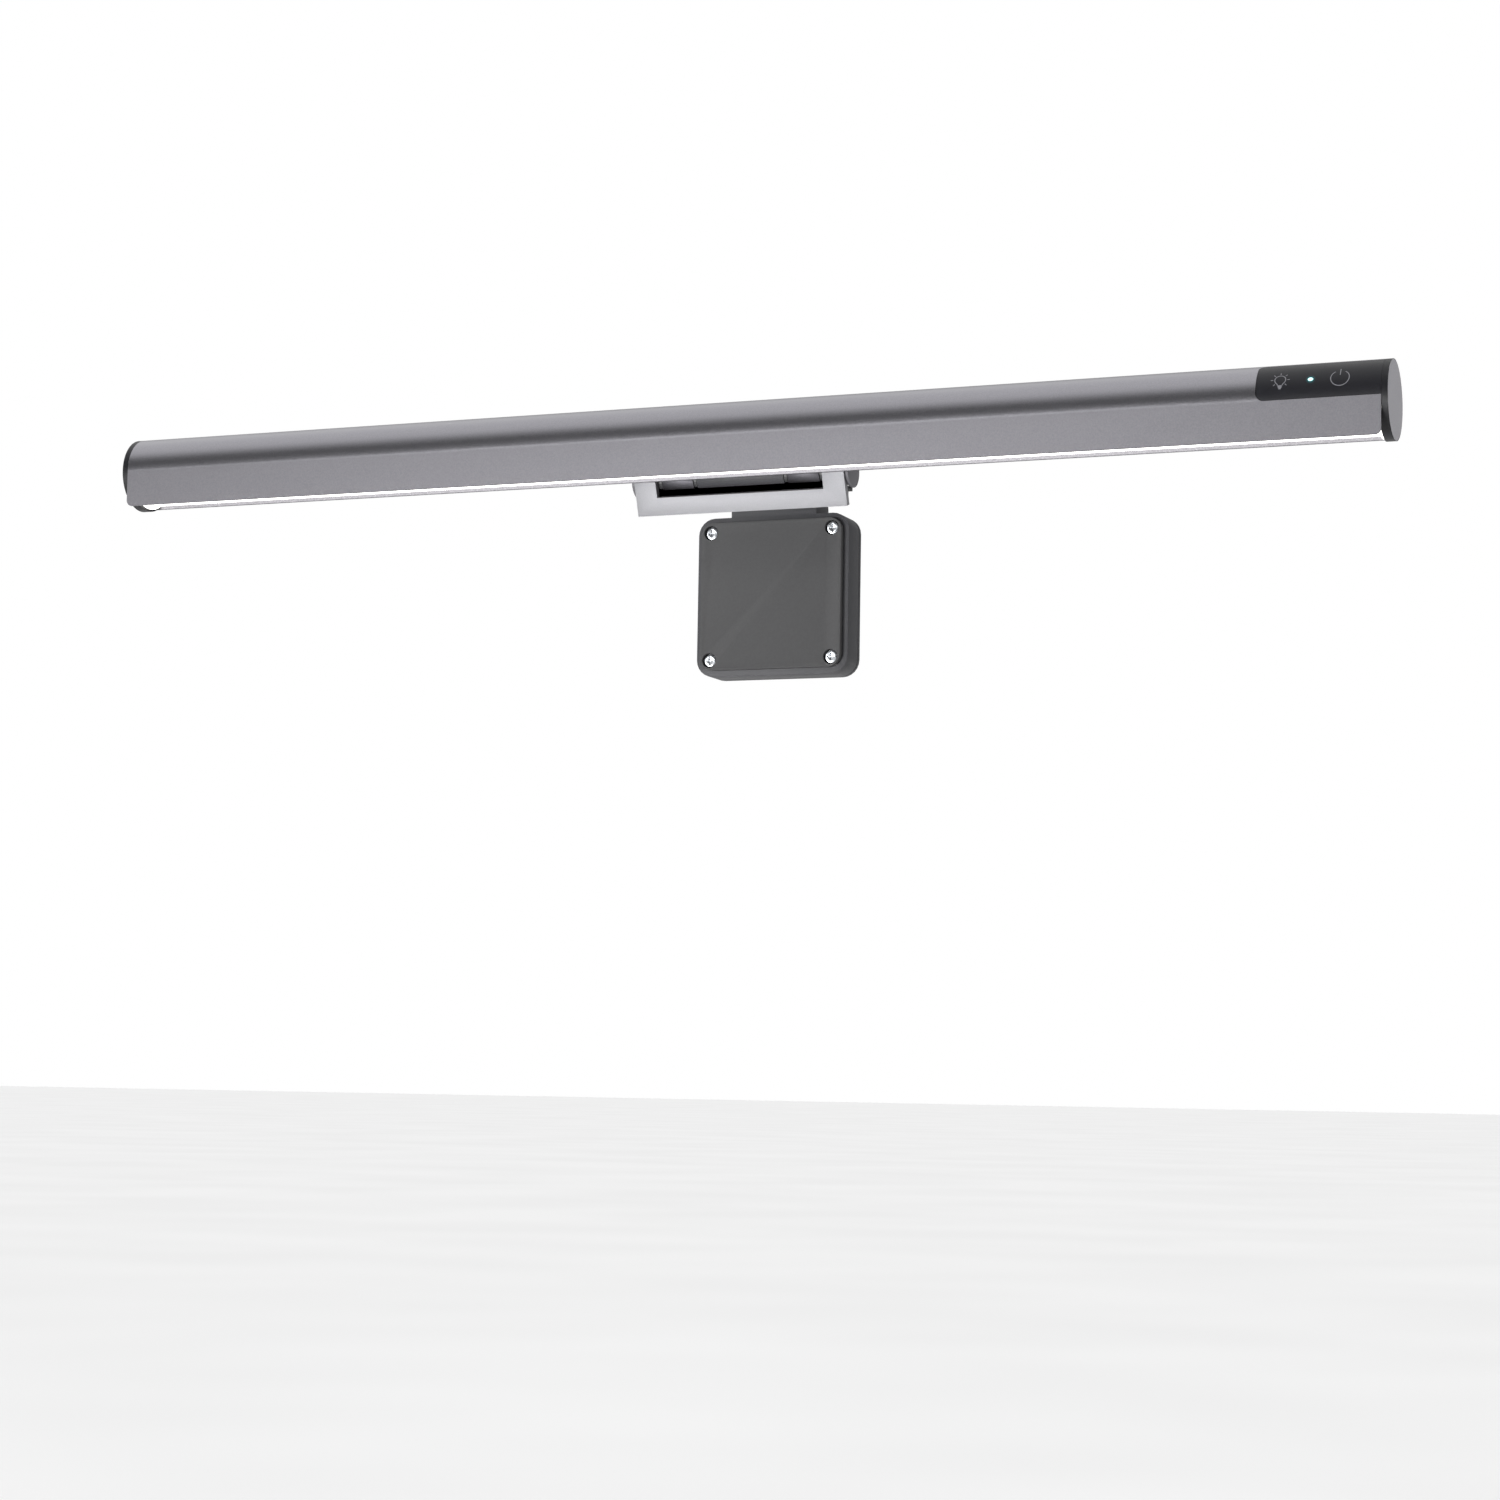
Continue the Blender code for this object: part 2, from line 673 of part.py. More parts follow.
def driver_board(parts, cutters):
    """Board above the web, with its parts soldered on: chip, inductor, capacitors, wire socket, indicator LED."""
    low = DRIVER_TOP - BOARD_THICKNESS
    half = DRIVER_WIDTH / 2
    board = box(
        "driver_board",
        LAMP_AXIS + Vector((DRIVER_X[0], -half, low)),
        LAMP_AXIS + Vector((DRIVER_X[1], half, DRIVER_TOP)),
        circuit_board(),
        parts,
    )
    blocks = (
        ("controller_chip", 0.150, -0.001, 0.0070, 0.0070, 0.0010),
        ("regulator_chip", 0.112, 0.001, 0.0050, 0.0062, 0.0016),
        ("inductor", 0.098, -0.001, 0.0066, 0.0066, 0.0045),
        ("wire_socket", 0.0585, -0.0015, 0.0040, 0.0076, 0.0034),
        ("indicator_led", LED_X, -0.0052, 0.0020, 0.0013, 0.0008),
        ("shunt", 0.128, -0.004, 0.0032, 0.0016, 0.0006),
    )
    for name, x, y, wide, deep, tall in blocks:
        part = box(
            name,
            LAMP_AXIS + Vector((x - wide / 2, y - deep / 2, DRIVER_TOP - 0.0004)),
            LAMP_AXIS + Vector((x + wide / 2, y + deep / 2, DRIVER_TOP + tall)),
            dark_grey(),
            cutters,
        )
        boolean(board, part, "UNION")
    for index, x in enumerate((0.086, 0.134)):
        can = cylinder(
            f"capacitor_{index + 1}",
            0.0026,
            LAMP_AXIS + Vector((x, -0.002, DRIVER_TOP - 0.0004)),
            LAMP_AXIS + Vector((x, -0.002, DRIVER_TOP + 0.0055)),
            dark_grey(),
            cutters,
            16,
        )
        boolean(board, can, "UNION")
    for x in BOARD_SCREW_X:
        hole = cylinder(
            f"board_hole_{x:.3f}",
            0.0012,
            LAMP_AXIS + Vector((x, 0.0, low - 0.001)),
            LAMP_AXIS + Vector((x, 0.0, DRIVER_TOP + 0.001)),
            circuit_board(),
            cutters,
            12,
        )
        boolean(board, hole, "DIFFERENCE")


BOARD_SCREW_X = (0.078, 0.180)


def board_screws(parts, cutters):
    """Two screws hold the driver board down on the web."""
    for index, x in enumerate(BOARD_SCREW_X):
        head = LAMP_AXIS + Vector((x, 0.0, DRIVER_TOP + 0.0012))
        screw(
            f"board_screw_{index + 1}",
            head,
            (0.0, 0.0, -1.0),
            0.0019,
            0.0009,
            0.0009,
            0.0028,
            parts,
            cutters,
        )


def stadium(name, width, height, y_range, group, hole=0.0):
    """A flat-sided oval tube or bar, running back along +Y at the socket's place."""
    radius = height / 2
    half = width / 2

    def ring(inset):
        return round_rectangle(
            inset - half, inset - radius, half - inset, radius - inset, [radius - inset - 1e-6] * 4
        )

    loops = [ring(0.0)] + ([ring(hole)] if hole else [])
    made = outline(name, loops, y_range[1] - y_range[0])
    made.rotation_euler = (math.radians(90), 0.0, 0.0)
    middle = (y_range[0] + y_range[1]) / 2
    made.location = LAMP_AXIS + Vector((USB_X, middle, USB_HEIGHT))
    return place(as_mesh(made), steel(), group)


def usb_socket(parts, cutters):
    """USB-C socket at the lamp's back: the pressed shell, and the insulator with its tongue."""
    shell = stadium("usb_shell", *USB_SHELL, USB_Y, parts, 0.00032)
    smooth(shell)
    insulator = stadium("usb_tongue", 0.0078, 0.0021, (USB_Y[0], USB_Y[0] + 0.0014), parts)
    tongue = box(
        "tongue_blade",
        LAMP_AXIS + Vector((USB_X - 0.0033, USB_Y[0] + 0.0005, USB_HEIGHT - 0.00035)),
        LAMP_AXIS + Vector((USB_X + 0.0033, USB_Y[1] - 0.0008, USB_HEIGHT + 0.00035)),
        black_plastic(),
        cutters,
    )
    boolean(insulator, tongue, "UNION")
    insulator.data.materials[0] = black_plastic()


def wire(name, points, radius, paint, group):
    """A round wire along a list of points."""
    curve = bpy.data.curves.new(name, "CURVE")
    curve.dimensions = "3D"
    curve.bevel_depth = radius
    curve.bevel_resolution = 1
    curve.use_fill_caps = True
    spline = curve.splines.new("POLY")
    spline.points.add(len(points) - 1)
    for point, place_at in zip(spline.points, points):
        point.co = (*place_at, 1.0)
    made = bpy.data.objects.new(name, curve)
    bpy.context.scene.collection.objects.link(made)
    return place(made, paint, group)


def led_wires(parts):
    """Two wires from the driver board over its edge, down through the web, to the LED board."""
    colours = {
        "led_wire_positive": (-0.0012, (0.5, 0.02, 0.02)),
        "led_wire_negative": (0.0012, (0.02, 0.02, 0.02)),
    }
    bend = 0.0030
    for name, (y, colour) in colours.items():
        start = Vector((0.0560, y, DRIVER_TOP + 0.0018))
        points = [start, start + Vector((-0.0018, 0.0, 0.0))]
        for i in range(1, 9):
            dx, dz = polar(bend, 90 + i * 11.25)
            points.append(points[1] + Vector((dx, 0.0, dz - bend)))
        points.append(Vector((points[-1].x, y, LED_BOARD_TOP + GAP)))
        paint = material(f"{name} PVC", colour, 0.5)
        wire(name, [LAMP_AXIS + point for point in points], 0.0006, paint, parts)


def touch_springs(parts):
    """Two coil springs, each joining a touch area of the panel to the board."""
    turns, per_turn, radius = 3, 8, 0.0018
    low, high = DRIVER_TOP + 0.0006, 0.0068
    for name, x in (("touch_spring_light", BULB_X), ("touch_spring_power", POWER_X)):
        points = []
        for i in range(turns * per_turn + 1):
            angle = math.tau * i / per_turn
            height = low + (high - low) * i / (turns * per_turn)
            points.append(
                LAMP_AXIS
                + Vector((x + radius * math.cos(angle), -0.0060 + radius * math.sin(angle), height))
            )
        wire(name, points, 0.00025, steel(), parts)


# ---------------------------------------------------------------- the hinge and the saddle


def saddle_screw_lines(inner, outer):
    """Radial lines through the saddle and the tube, where its four screws go."""
    lines = []
    for side in (-1, 1):
        for angle in SADDLE_SCREW_ANGLES:
            y, z = polar(1.0, angle)
            base = LAMP_AXIS + Vector((side * SADDLE_SCREW_X, 0.0, 0.0))
            direction = Vector((0.0, y, z))
            lines.append((base + direction * inner, base + direction * outer))
    return lines


def lamp_saddle(parts, cutters):
    """Curved plate screwed to the tube's back, with two arms that end in hinge knuckles."""
    low, high = SADDLE_ANGLES
    shell = arc(SADDLE_OUTER, low, high, 5.0) + arc(SADDLE_INNER, high, low, 5.0)
    half = LAMP_KNUCKLE[1]
    saddle = profile("lamp_saddle", [shell], (-half, half), space_grey(), parts)

    reach = HINGE_AXIS - LAMP_AXIS
    angle = math.atan2(reach.z, reach.y)
    turn = Matrix.Translation(LAMP_AXIS) @ Matrix.Rotation(angle, 4, "X")
    for side, word in ((-1, "left"), (1, "right")):
        x_low, x_high = sorted((side * LAMP_KNUCKLE[0], side * LAMP_KNUCKLE[1]))
        knuckle = cylinder(
            f"saddle_knuckle_{word}",
            HINGE_RADIUS,
            HINGE_AXIS + Vector((x_low, 0.0, 0.0)),
            HINGE_AXIS + Vector((x_high, 0.0, 0.0)),
            space_grey(),
            cutters,
        )
        arm = box(
            f"saddle_arm_{word}",
            (x_low + 0.0001, SADDLE_INNER + 0.0008, -ARM_THICKNESS / 2),
            (x_high - 0.0001, reach.length - 0.001, ARM_THICKNESS / 2),
            space_grey(),
            cutters,
            turn,
        )
        boolean(saddle, arm, "UNION")
        boolean(saddle, knuckle, "UNION")
    boolean(saddle, pin_bore("saddle_pin_bore", cutters), "DIFFERENCE")
    for index, (start, end) in enumerate(saddle_screw_lines(0.0120, 0.0170)):
        hole = cylinder(f"saddle_screw_hole_{index}", 0.0014, start, end, steel(), cutters, 12)
        boolean(saddle, hole, "DIFFERENCE")
    smooth(saddle)


def saddle_screws(parts, cutters):
    """Four screws from behind, through the saddle into the tube."""
    head_height = 0.0010
    length = 0.0050
    lines = saddle_screw_lines(SADDLE_OUTER, SADDLE_OUTER + GAP + head_height)
    for index, (seat, head) in enumerate(lines):
        screw(
            f"saddle_screw_{index + 1}",
            head,
            seat - head,
            0.0022,
            head_height,
            0.0010,
            length,
            parts,
            cutters,
        )


def pin_bore(name, cutters):
    reach = Vector((CLAW_WIDTH, 0.0, 0.0))
    return cylinder(
        name, PIN_HOLE_RADIUS, HINGE_AXIS - reach, HINGE_AXIS + reach, steel(), cutters, 24
    )


def claw_frame(parts, cutters):
    """Silver U-shaped plate in front of the monitor; its two prongs carry the hinge's outer knuckles."""
    half, window = CLAW_WIDTH / 2, WINDOW_WIDTH / 2
    loop = [
        (-half, 0.0),
        (half, 0.0),
        (half, CLAW_LENGTH),
        (window, CLAW_LENGTH),
        (window, CLAW_BAR),
        (-window, CLAW_BAR),
        (-window, CLAW_LENGTH),
        (-half, CLAW_LENGTH),
    ]
    plate = outline("claw_frame", [loop], CLAW_THICKNESS)
    inward = Vector((0.0, math.cos(CLAW_TILT), math.sin(CLAW_TILT)))
    plate.rotation_euler = (math.radians(90) + CLAW_TILT, 0.0, 0.0)
    plate.location = CLAW_FOOT + inward * CLAW_THICKNESS / 2
    plate = place(as_mesh(plate), silver(), parts)
    for side, word in ((-1, "left"), (1, "right")):
        x_low, x_high = sorted((side * OUTER_KNUCKLE[0], side * (OUTER_KNUCKLE[1] - 0.0001)))
        knuckle = cylinder(
            f"claw_knuckle_{word}",
            HINGE_RADIUS,
            HINGE_AXIS + Vector((x_low, 0.0, 0.0)),
            HINGE_AXIS + Vector((x_high, 0.0, 0.0)),
            silver(),
            cutters,
        )
        bridge = box(
            f"claw_bridge_{word}",
            HINGE_AXIS + Vector((x_low + 0.0001, -0.0062, -0.0022)),
            HINGE_AXIS + Vector((x_high - 0.0001, 0.0, 0.0040)),
            silver(),
            cutters,
        )
        boolean(plate, knuckle, "UNION")
        boolean(plate, bridge, "UNION")
    boolean(plate, pin_bore("claw_pin_bore", cutters), "DIFFERENCE")
    smooth(plate)


def claw_pad(parts):
    """Silicone strip, L-shaped in section: against the monitor's front and over its top edge."""
    back_y = CLAW_THICKNESS / math.cos(CLAW_TILT) + GAP

    def plate_back(z):
        return CLAW_FOOT.y - (z - CLAW_FOOT.z) * math.tan(CLAW_TILT) + back_y

    groove = HINGE_RADIUS + GAP
    low = -MONITOR_TOP
    front = [
        (HINGE_AXIS.y + y, HINGE_AXIS.z + z) for y, z in arc(groove, -115.0, -90.0, ARC_STEP)
    ]
    floor = HINGE_AXIS.z - groove
    loop = [(0.0, low), (0.0, MONITOR_TOP), (REST_DEPTH, MONITOR_TOP), (REST_DEPTH, floor)]
    loop += list(reversed(front))
    loop += [(plate_back(front[0][1]), front[0][1]), (plate_back(low), low)]
    half = CLAW_WIDTH / 2 - 0.0006
    profile("claw_pad", [loop], (-half, half), silicone(), parts, Vector((0.0, 0.0, 0.0)))


def hinge_pin(parts):
    """Steel pin through all the knuckles."""
    end = Vector((PIN_CAP[0] - 0.0002, 0.0, 0.0))
    pin = cylinder(
        "hinge_pin", PIN_RADIUS, HINGE_AXIS - end, HINGE_AXIS + end, steel(), parts, 24
    )
    smooth(pin)


def pin_caps(parts):
    """Dark discs that close the hinge's two ends, a little wider than its knuckles."""
    for side, word in ((-1, "left"), (1, "right")):
        cap = cylinder(
            f"pin_cap_{word}",
            PIN_CAP_RADIUS,
            HINGE_AXIS + Vector((side * PIN_CAP[0], 0.0, 0.0)),
            HINGE_AXIS + Vector((side * PIN_CAP[1], 0.0, 0.0)),
            dark_grey(),
            parts,
            40,
        )
        smooth(cap)


def hinge_washers(parts, cutters):
    """Four friction washers, one in each gap between knuckles."""
    places = (
        ("hinge_washer_1", -1, OUTER_WASHER),
        ("hinge_washer_2", -1, INNER_WASHER),
        ("hinge_washer_3", 1, INNER_WASHER),
        ("hinge_washer_4", 1, OUTER_WASHER),
    )
    for name, side, (near, far) in places:
        washer = cylinder(
            name,
            HINGE_RADIUS - 0.0002,
            HINGE_AXIS + Vector((side * near, 0.0, 0.0)),
            HINGE_AXIS + Vector((side * far, 0.0, 0.0)),
            black_plastic(),
            parts,
        )
        boolean(washer, pin_bore(f"{name}_bore", cutters), "DIFFERENCE")
        smooth(washer)


# ---------------------------------------------------------------- the counterweight arm


def rear_arm(parts, cutters):
    """Dark arm from the hinge's middle knuckle, over the monitor, to a hollow body behind it."""
    bend = REAR_BEND
    corner = (REAR_BACK - bend, ARM_TOP - bend)
    turn = [(corner[0] + y, corner[1] + z) for y, z in arc(bend, 90.0, 0.0, 10.0)]
    step = REAR_BACK - 0.0022
    loop = [(HINGE_AXIS.y, ARM_TOP)] + turn
    loop += [(REAR_BACK, GAP), (step, GAP), (step, -0.002), (REAR_FRONT, -0.002)]
    inner = 0.004
    inner_centre = (REAR_FRONT - inner, ARM_UNDERSIDE - inner)
    loop += [
        (inner_centre[0] + y, inner_centre[1] + z) for y, z in arc(inner, 0.0, 90.0, 15.0)
    ]
    loop += [(HINGE_AXIS.y, ARM_UNDERSIDE)]
    x_range = (-MIDDLE_KNUCKLE, MIDDLE_KNUCKLE)
    arm = profile("rear_arm", [loop], x_range, dark_grey(), parts, Vector((0.0, 0.0, 0.0)))
    knuckle = cylinder(
        "arm_knuckle",
        HINGE_RADIUS,
        HINGE_AXIS - Vector((MIDDLE_KNUCKLE + 0.00001, 0.0, 0.0)),
        HINGE_AXIS + Vector((MIDDLE_KNUCKLE + 0.00001, 0.0, 0.0)),
        dark_grey(),
        cutters,
    )
    boolean(arm, knuckle, "UNION")
    body = rear_body("arm_body", REAR_WIDTH, REAR_FRONT, REAR_BACK - 0.0022, 0.0, cutters)
    boolean(arm, body, "UNION")
    pocket = rear_body(
        "weight_pocket", REAR_WIDTH, REAR_FRONT + REAR_WALL, REAR_BACK + 0.004, REAR_WALL, cutters
    )
    boolean(arm, pocket, "DIFFERENCE")
    boolean(arm, pin_bore("arm_pin_bore", cutters), "DIFFERENCE")
    for index, (x, z) in enumerate(cover_screw_places()):
        hole = cylinder(
            f"cover_screw_hole_{index}",
            0.0013,
            (x, REAR_FRONT - 0.002, z),
            (x, REAR_FRONT + 0.004, z),
            dark_grey(),
            cutters,
            12,
        )
        boolean(arm, hole, "DIFFERENCE")
    smooth(arm)


def rear_body(name, width, front, back, inset, group):
    """The rounded upright block behind the monitor, or its pocket when inset from the outline."""
    half = width / 2 - inset
    radius = 0.0060 - inset
    loop = round_rectangle(
        -half, REAR_BOTTOM + inset, half, 0.0000 - inset, [radius] * 4, 15.0
    )
    made = outline(name, [loop], back - front)
    made.rotation_euler = (math.radians(90), 0.0, 0.0)
    made.location = (0.0, (front + back) / 2, 0.0)
    return place(as_mesh(made), dark_grey(), group)


def cover_screw_places():
    """(x, z) of the four screws that hold the rear cover, entered from under the pad."""
    half = REAR_WIDTH / 2 - 0.0055
    return [(side * half, z) for side in (-1, 1) for z in (-0.0055, REAR_BOTTOM + 0.0055)]


def rear_cover(parts, cutters):
    """Cover over the counterweight's pocket, with four posts for its screws."""
    cover = rear_body("rear_cover", REAR_WIDTH, REAR_BACK - 0.0019, REAR_BACK + 0.0001, 0.0, parts)
    for index, (x, z) in enumerate(cover_screw_places()):
        post = cylinder(
            f"cover_post_{index}",
            0.0028,
            (x, REAR_FRONT + REAR_WALL + GAP, z),
            (x, REAR_BACK - 0.0010, z),
            dark_grey(),
            cutters,
            16,
        )
        bore = cylinder(
            f"cover_bore_{index}",
            0.0013,
            (x, REAR_FRONT, z),
            (x, REAR_BACK - 0.0030, z),
            dark_grey(),
            cutters,
            12,
        )
        boolean(cover, post, "UNION")
        boolean(cover, bore, "DIFFERENCE")
    smooth(cover)


def cover_screws(parts, cutters):
    """Four screws from the monitor's side, hidden in the pad's recess."""
    for index, (x, z) in enumerate(cover_screw_places()):
        screw(
            f"cover_screw_{index + 1}",
            (x, REAR_FRONT - GAP - 0.0010, z),
            (0.0, 1.0, 0.0),
            0.0021,
            0.0010,
            0.0010,
            0.0060,
            parts,
            cutters,
        )


def counterweight(parts):
    """Steel block that balances the lamp."""
    weight = box(
        "counterweight",
        (-0.0190, REAR_FRONT + REAR_WALL + GAP, REAR_BOTTOM + REAR_WALL + 0.0010),
        (0.0190, REAR_BACK - 0.0024, -REAR_WALL - 0.0010),
        steel(),
        parts,
    )
    rounded(weight, 0.0010, 1)


def rear_pad(parts, cutters):
    """Silicone pad that bears on the monitor's back, with holes over the cover's screws."""
    half = REAR_WIDTH / 2 - 0.0020
    loop = round_rectangle(
        -half, REAR_BOTTOM + 0.0020, half, -0.0020, [0.0045] * 4, 15.0
    )
    made = outline("rear_pad", [loop], PAD_THICKNESS - GAP)
    made.rotation_euler = (math.radians(90), 0.0, 0.0)
    made.location = (0.0, REAR_FRONT - (PAD_THICKNESS + GAP) / 2, 0.0)
    pad = place(as_mesh(made), silicone(), parts)
    for index, (x, z) in enumerate(cover_screw_places()):
        hole = cylinder(
            f"pad_hole_{index}",
            0.0026,
            (x, REAR_FRONT - 0.006, z),
            (x, REAR_FRONT + 0.002, z),
            silicone(),
            cutters,
            16,
        )
        boolean(pad, hole, "DIFFERENCE")


def main():
    clear_scene()
    parts = collection("monitor_light_bar")
    cutters = collection("cutters")

    lamp_housing(parts, cutters)
    control_panel(parts, cutters)
    indicator_body("indicator_lens", 0.00085, 0.0075, TUBE_RADIUS + 0.0001, parts)
    diffuser(parts, cutters)
    light_reflector(parts, cutters)
    led_board(parts, cutters)
    driver_board(parts, cutters)
    board_screws(parts, cutters)
    usb_socket(parts, cutters)
    led_wires(parts)
    touch_springs(parts)
    for side in (-1, 1):
        end_cap(side, parts, cutters)
        end_disc(side, parts)
    end_screws(parts, cutters)

    lamp_saddle(parts, cutters)
    saddle_screws(parts, cutters)
    claw_frame(parts, cutters)
    claw_pad(parts)
    hinge_pin(parts)
    pin_caps(parts)
    hinge_washers(parts, cutters)

    rear_arm(parts, cutters)
    rear_cover(parts, cutters)
    cover_screws(parts, cutters)
    counterweight(parts)
    rear_pad(parts, cutters)


main()
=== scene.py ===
import json
import math

import bmesh
import bpy
from mathutils import Matrix, Vector


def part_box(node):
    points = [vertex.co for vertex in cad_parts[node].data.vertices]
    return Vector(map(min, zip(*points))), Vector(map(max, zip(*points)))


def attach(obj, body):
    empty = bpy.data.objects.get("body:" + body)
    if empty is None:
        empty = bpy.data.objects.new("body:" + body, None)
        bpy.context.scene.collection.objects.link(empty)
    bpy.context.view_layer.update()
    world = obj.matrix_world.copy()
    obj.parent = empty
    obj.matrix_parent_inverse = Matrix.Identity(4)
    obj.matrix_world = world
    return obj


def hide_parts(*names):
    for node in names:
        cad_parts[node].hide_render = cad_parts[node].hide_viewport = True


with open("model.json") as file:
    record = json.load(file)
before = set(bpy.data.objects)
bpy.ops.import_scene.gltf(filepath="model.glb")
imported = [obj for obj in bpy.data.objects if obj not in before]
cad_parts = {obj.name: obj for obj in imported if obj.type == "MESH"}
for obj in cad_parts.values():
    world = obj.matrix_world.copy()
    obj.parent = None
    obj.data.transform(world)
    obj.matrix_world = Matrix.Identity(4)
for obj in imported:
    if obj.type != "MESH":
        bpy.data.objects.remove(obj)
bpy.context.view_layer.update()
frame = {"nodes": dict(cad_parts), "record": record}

MM = 0.001
SHARP = math.radians(30)

# The places everything is built round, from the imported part
disc_low, disc_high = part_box("end_disc_right")
LAMP = (disc_low + disc_high) / 2
LAMP.x = 0.0
TUBE_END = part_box("lamp_housing")[1].x / MM
LAMP_END = disc_high.x / MM
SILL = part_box("diffuser")[1].x / MM + 0.3

# The lamp's section, in millimetres from its axis: the tube's radius and wall, the visor, the back lip,
# the diffuser's radius and wall, the web, and the touch panel's extent in millimetres and degrees
TUBE = 12.8
WALL = 1.2
VISOR = 0.9
VISOR_DROP = 13.05
LIP_FRONT, LIP_BACK, LIP_DROP = 6.8, 7.7, 11.1
DIFFUSER, DIFFUSER_WALL = 11.0, 1.0
FLANGE = 12.0
WEB_TOP, WEB_BOTTOM = -1.8, -3.0
PANEL_LEFT = 184.0
PANEL_LOW, PANEL_HIGH = -2.0, 68.0
PANEL_CORNER = 2.4
ICON_HEIGHT = 26.0
BULB_X, LED_X, POWER_X = 191.5, 201.0, 210.1
DIFFUSER_GLOW = 2.6
# Painted shade: the visor flat's darker colours, standing in for how the light falls on it
FLAT_SHADE_TONES = ("#69686c", "#757478")


def outward(angle, radius):
    """(y, z) on the front of the tube, an angle above the horizontal."""
    a = math.radians(angle)
    return (-radius * math.cos(a), radius * math.sin(a))


# ---------------------------------------------------------------- materials


def linear(code):
    """An sRGB hex colour as linear values."""
    values = [int(code[i : i + 2], 16) / 255 for i in (1, 3, 5)]
    return [v / 12.92 if v <= 0.04045 else ((v + 0.055) / 1.055) ** 2.4 for v in values] + [1.0]


def new_material(name, colour, roughness, metallic=0.0, **sockets):
    made = bpy.data.materials.new(name)
    made.use_nodes = True
    shader = made.node_tree.nodes["Principled BSDF"]
    shader.inputs["Base Color"].default_value = linear(colour)
    shader.inputs["Roughness"].default_value = roughness
    shader.inputs["Metallic"].default_value = metallic
    for socket, value in sockets.items():
        shader.inputs[socket.replace("_", " ")].default_value = value
    return made, shader


def add(made, kind, settings, values, links):
    """Adds one node: its settings, its unlinked values and (input, source node, output) links."""
    node = made.node_tree.nodes.new(kind)
    for key, value in settings.items():
        setattr(node, key, value)
    for key, value in values.items():
        node.inputs[key].default_value = value
    for key, source, output in links:
        made.node_tree.links.new(source.outputs[output], node.inputs[key])
    return node


def ramp(node, *stops):
    """Sets a colour ramp's stops from (place, sRGB colour)."""
    elements = node.color_ramp.elements
    while len(elements) < len(stops):
        elements.new(0.5)
    for element, (where, colour) in zip(elements, stops):
        element.position = where
        element.color = linear(colour)


def grain(made, shader, size, depth, shades, rough, stretch=(1.0, 1.0, 1.0)):
    """Grain of a real size in metres: it dents the surface, and shifts its colour and its gloss."""
    place = add(made, "ShaderNodeTexCoord", {}, {}, [])
    turned = add(made, "ShaderNodeMapping", {}, {"Scale": stretch}, [("Vector", place, "Object")])
    noise = add(
        made,
        "ShaderNodeTexNoise",
        {},
        {"Scale": 1 / size, "Detail": 3.0, "Roughness": 0.6},
        [("Vector", turned, "Vector")],
    )
    tone = add(made, "ShaderNodeValToRGB", {}, {}, [("Fac", noise, "Fac")])
    ramp(tone, (0.32, shades[0]), (0.68, shades[1]))
    gloss = add(
        made,
        "ShaderNodeMapRange",
        {},
        {"From Min": 0.3, "From Max": 0.7, "To Min": rough[0], "To Max": rough[1]},
        [("Value", noise, "Fac")],
    )
    bump = add(
        made,
        "ShaderNodeBump",
        {},
        {"Strength": 1.0, "Distance": depth},
        [("Height", noise, "Fac")],
    )
    links = made.node_tree.links
    links.new(tone.outputs["Color"], shader.inputs["Base Color"])
    links.new(gloss.outputs["Result"], shader.inputs["Roughness"])
    links.new(bump.outputs["Normal"], shader.inputs["Normal"])
    return noise


def near_visor(made):
    """1 on the visor's flat front, 0 on the round tube, with a soft change over about a millimetre."""
    place = add(made, "ShaderNodeTexCoord", {}, {}, [])
    parts = add(made, "ShaderNodeSeparateXYZ", {}, {}, [("Vector", place, "Object")])
    below = add(
        made,
        "ShaderNodeMapRange",
        {"interpolation_type": "SMOOTHSTEP"},
        {
            "From Min": LAMP.z - 0.9 * MM,
            "From Max": LAMP.z + 0.4 * MM,
            "To Min": 1.0,
            "To Max": 0.0,
        },
        [("Value", parts, "Z")],
    )
    ahead = add(
        made,
        "ShaderNodeMapRange",
        {},
        {
            "From Min": LAMP.y - 12.5 * MM,
            "From Max": LAMP.y - 12.2 * MM,
            "To Min": 1.0,
            "To Max": 0.0,
        },
        [("Value", parts, "Y")],
    )
    return add(
        made, "ShaderNodeMath", {"operation": "MULTIPLY"}, {}, [(0, below, "Result"), (1, ahead, "Result")]
    )


def blasted_aluminium():
    """Grey anodised aluminium: satin round the tube, and bead-blasted to a matt on the visor's flat, which is
    also coloured a darker painted shade than the tube.
    """
    made, shader = new_material("space_grey_anodised_aluminium", "#8c8b90", 0.4, 1.0)
    # The grit leaves dents near 0.1 mm; 0.4 mm is as fine as shows
    noise = grain(made, shader, 0.4 * MM, 0.004 * MM, ("#838287", "#8e8d92"), (0.3, 0.36))
    flat = near_visor(made)
    # Painted shade: the flat gets its own darker colour in place of the tube's, mixed in by the visor mask
    pale = add(made, "ShaderNodeValToRGB", {}, {}, [("Fac", noise, "Fac")])
    ramp(pale, (0.3, FLAT_SHADE_TONES[0]), (0.7, FLAT_SHADE_TONES[1]))
    tube_tone = shader.inputs["Base Color"].links[0].from_node
    tone = add(
        made,
        "ShaderNodeMix",
        {"data_type": "RGBA"},
        {},
        [("Factor", flat, "Value"), ("A", tube_tone, "Color"), ("B", pale, "Color")],
    )
    tube_gloss = shader.inputs["Roughness"].links[0].from_node
    matt = add(
        made,
        "ShaderNodeMath",
        {"operation": "MULTIPLY_ADD"},
        {1: 0.2},
        [(0, flat, "Value"), (2, tube_gloss, "Result")],
    )
    made.node_tree.links.new(tone.outputs["Result"], shader.inputs["Base Color"])
    made.node_tree.links.new(matt.outputs["Value"], shader.inputs["Roughness"])
    return made


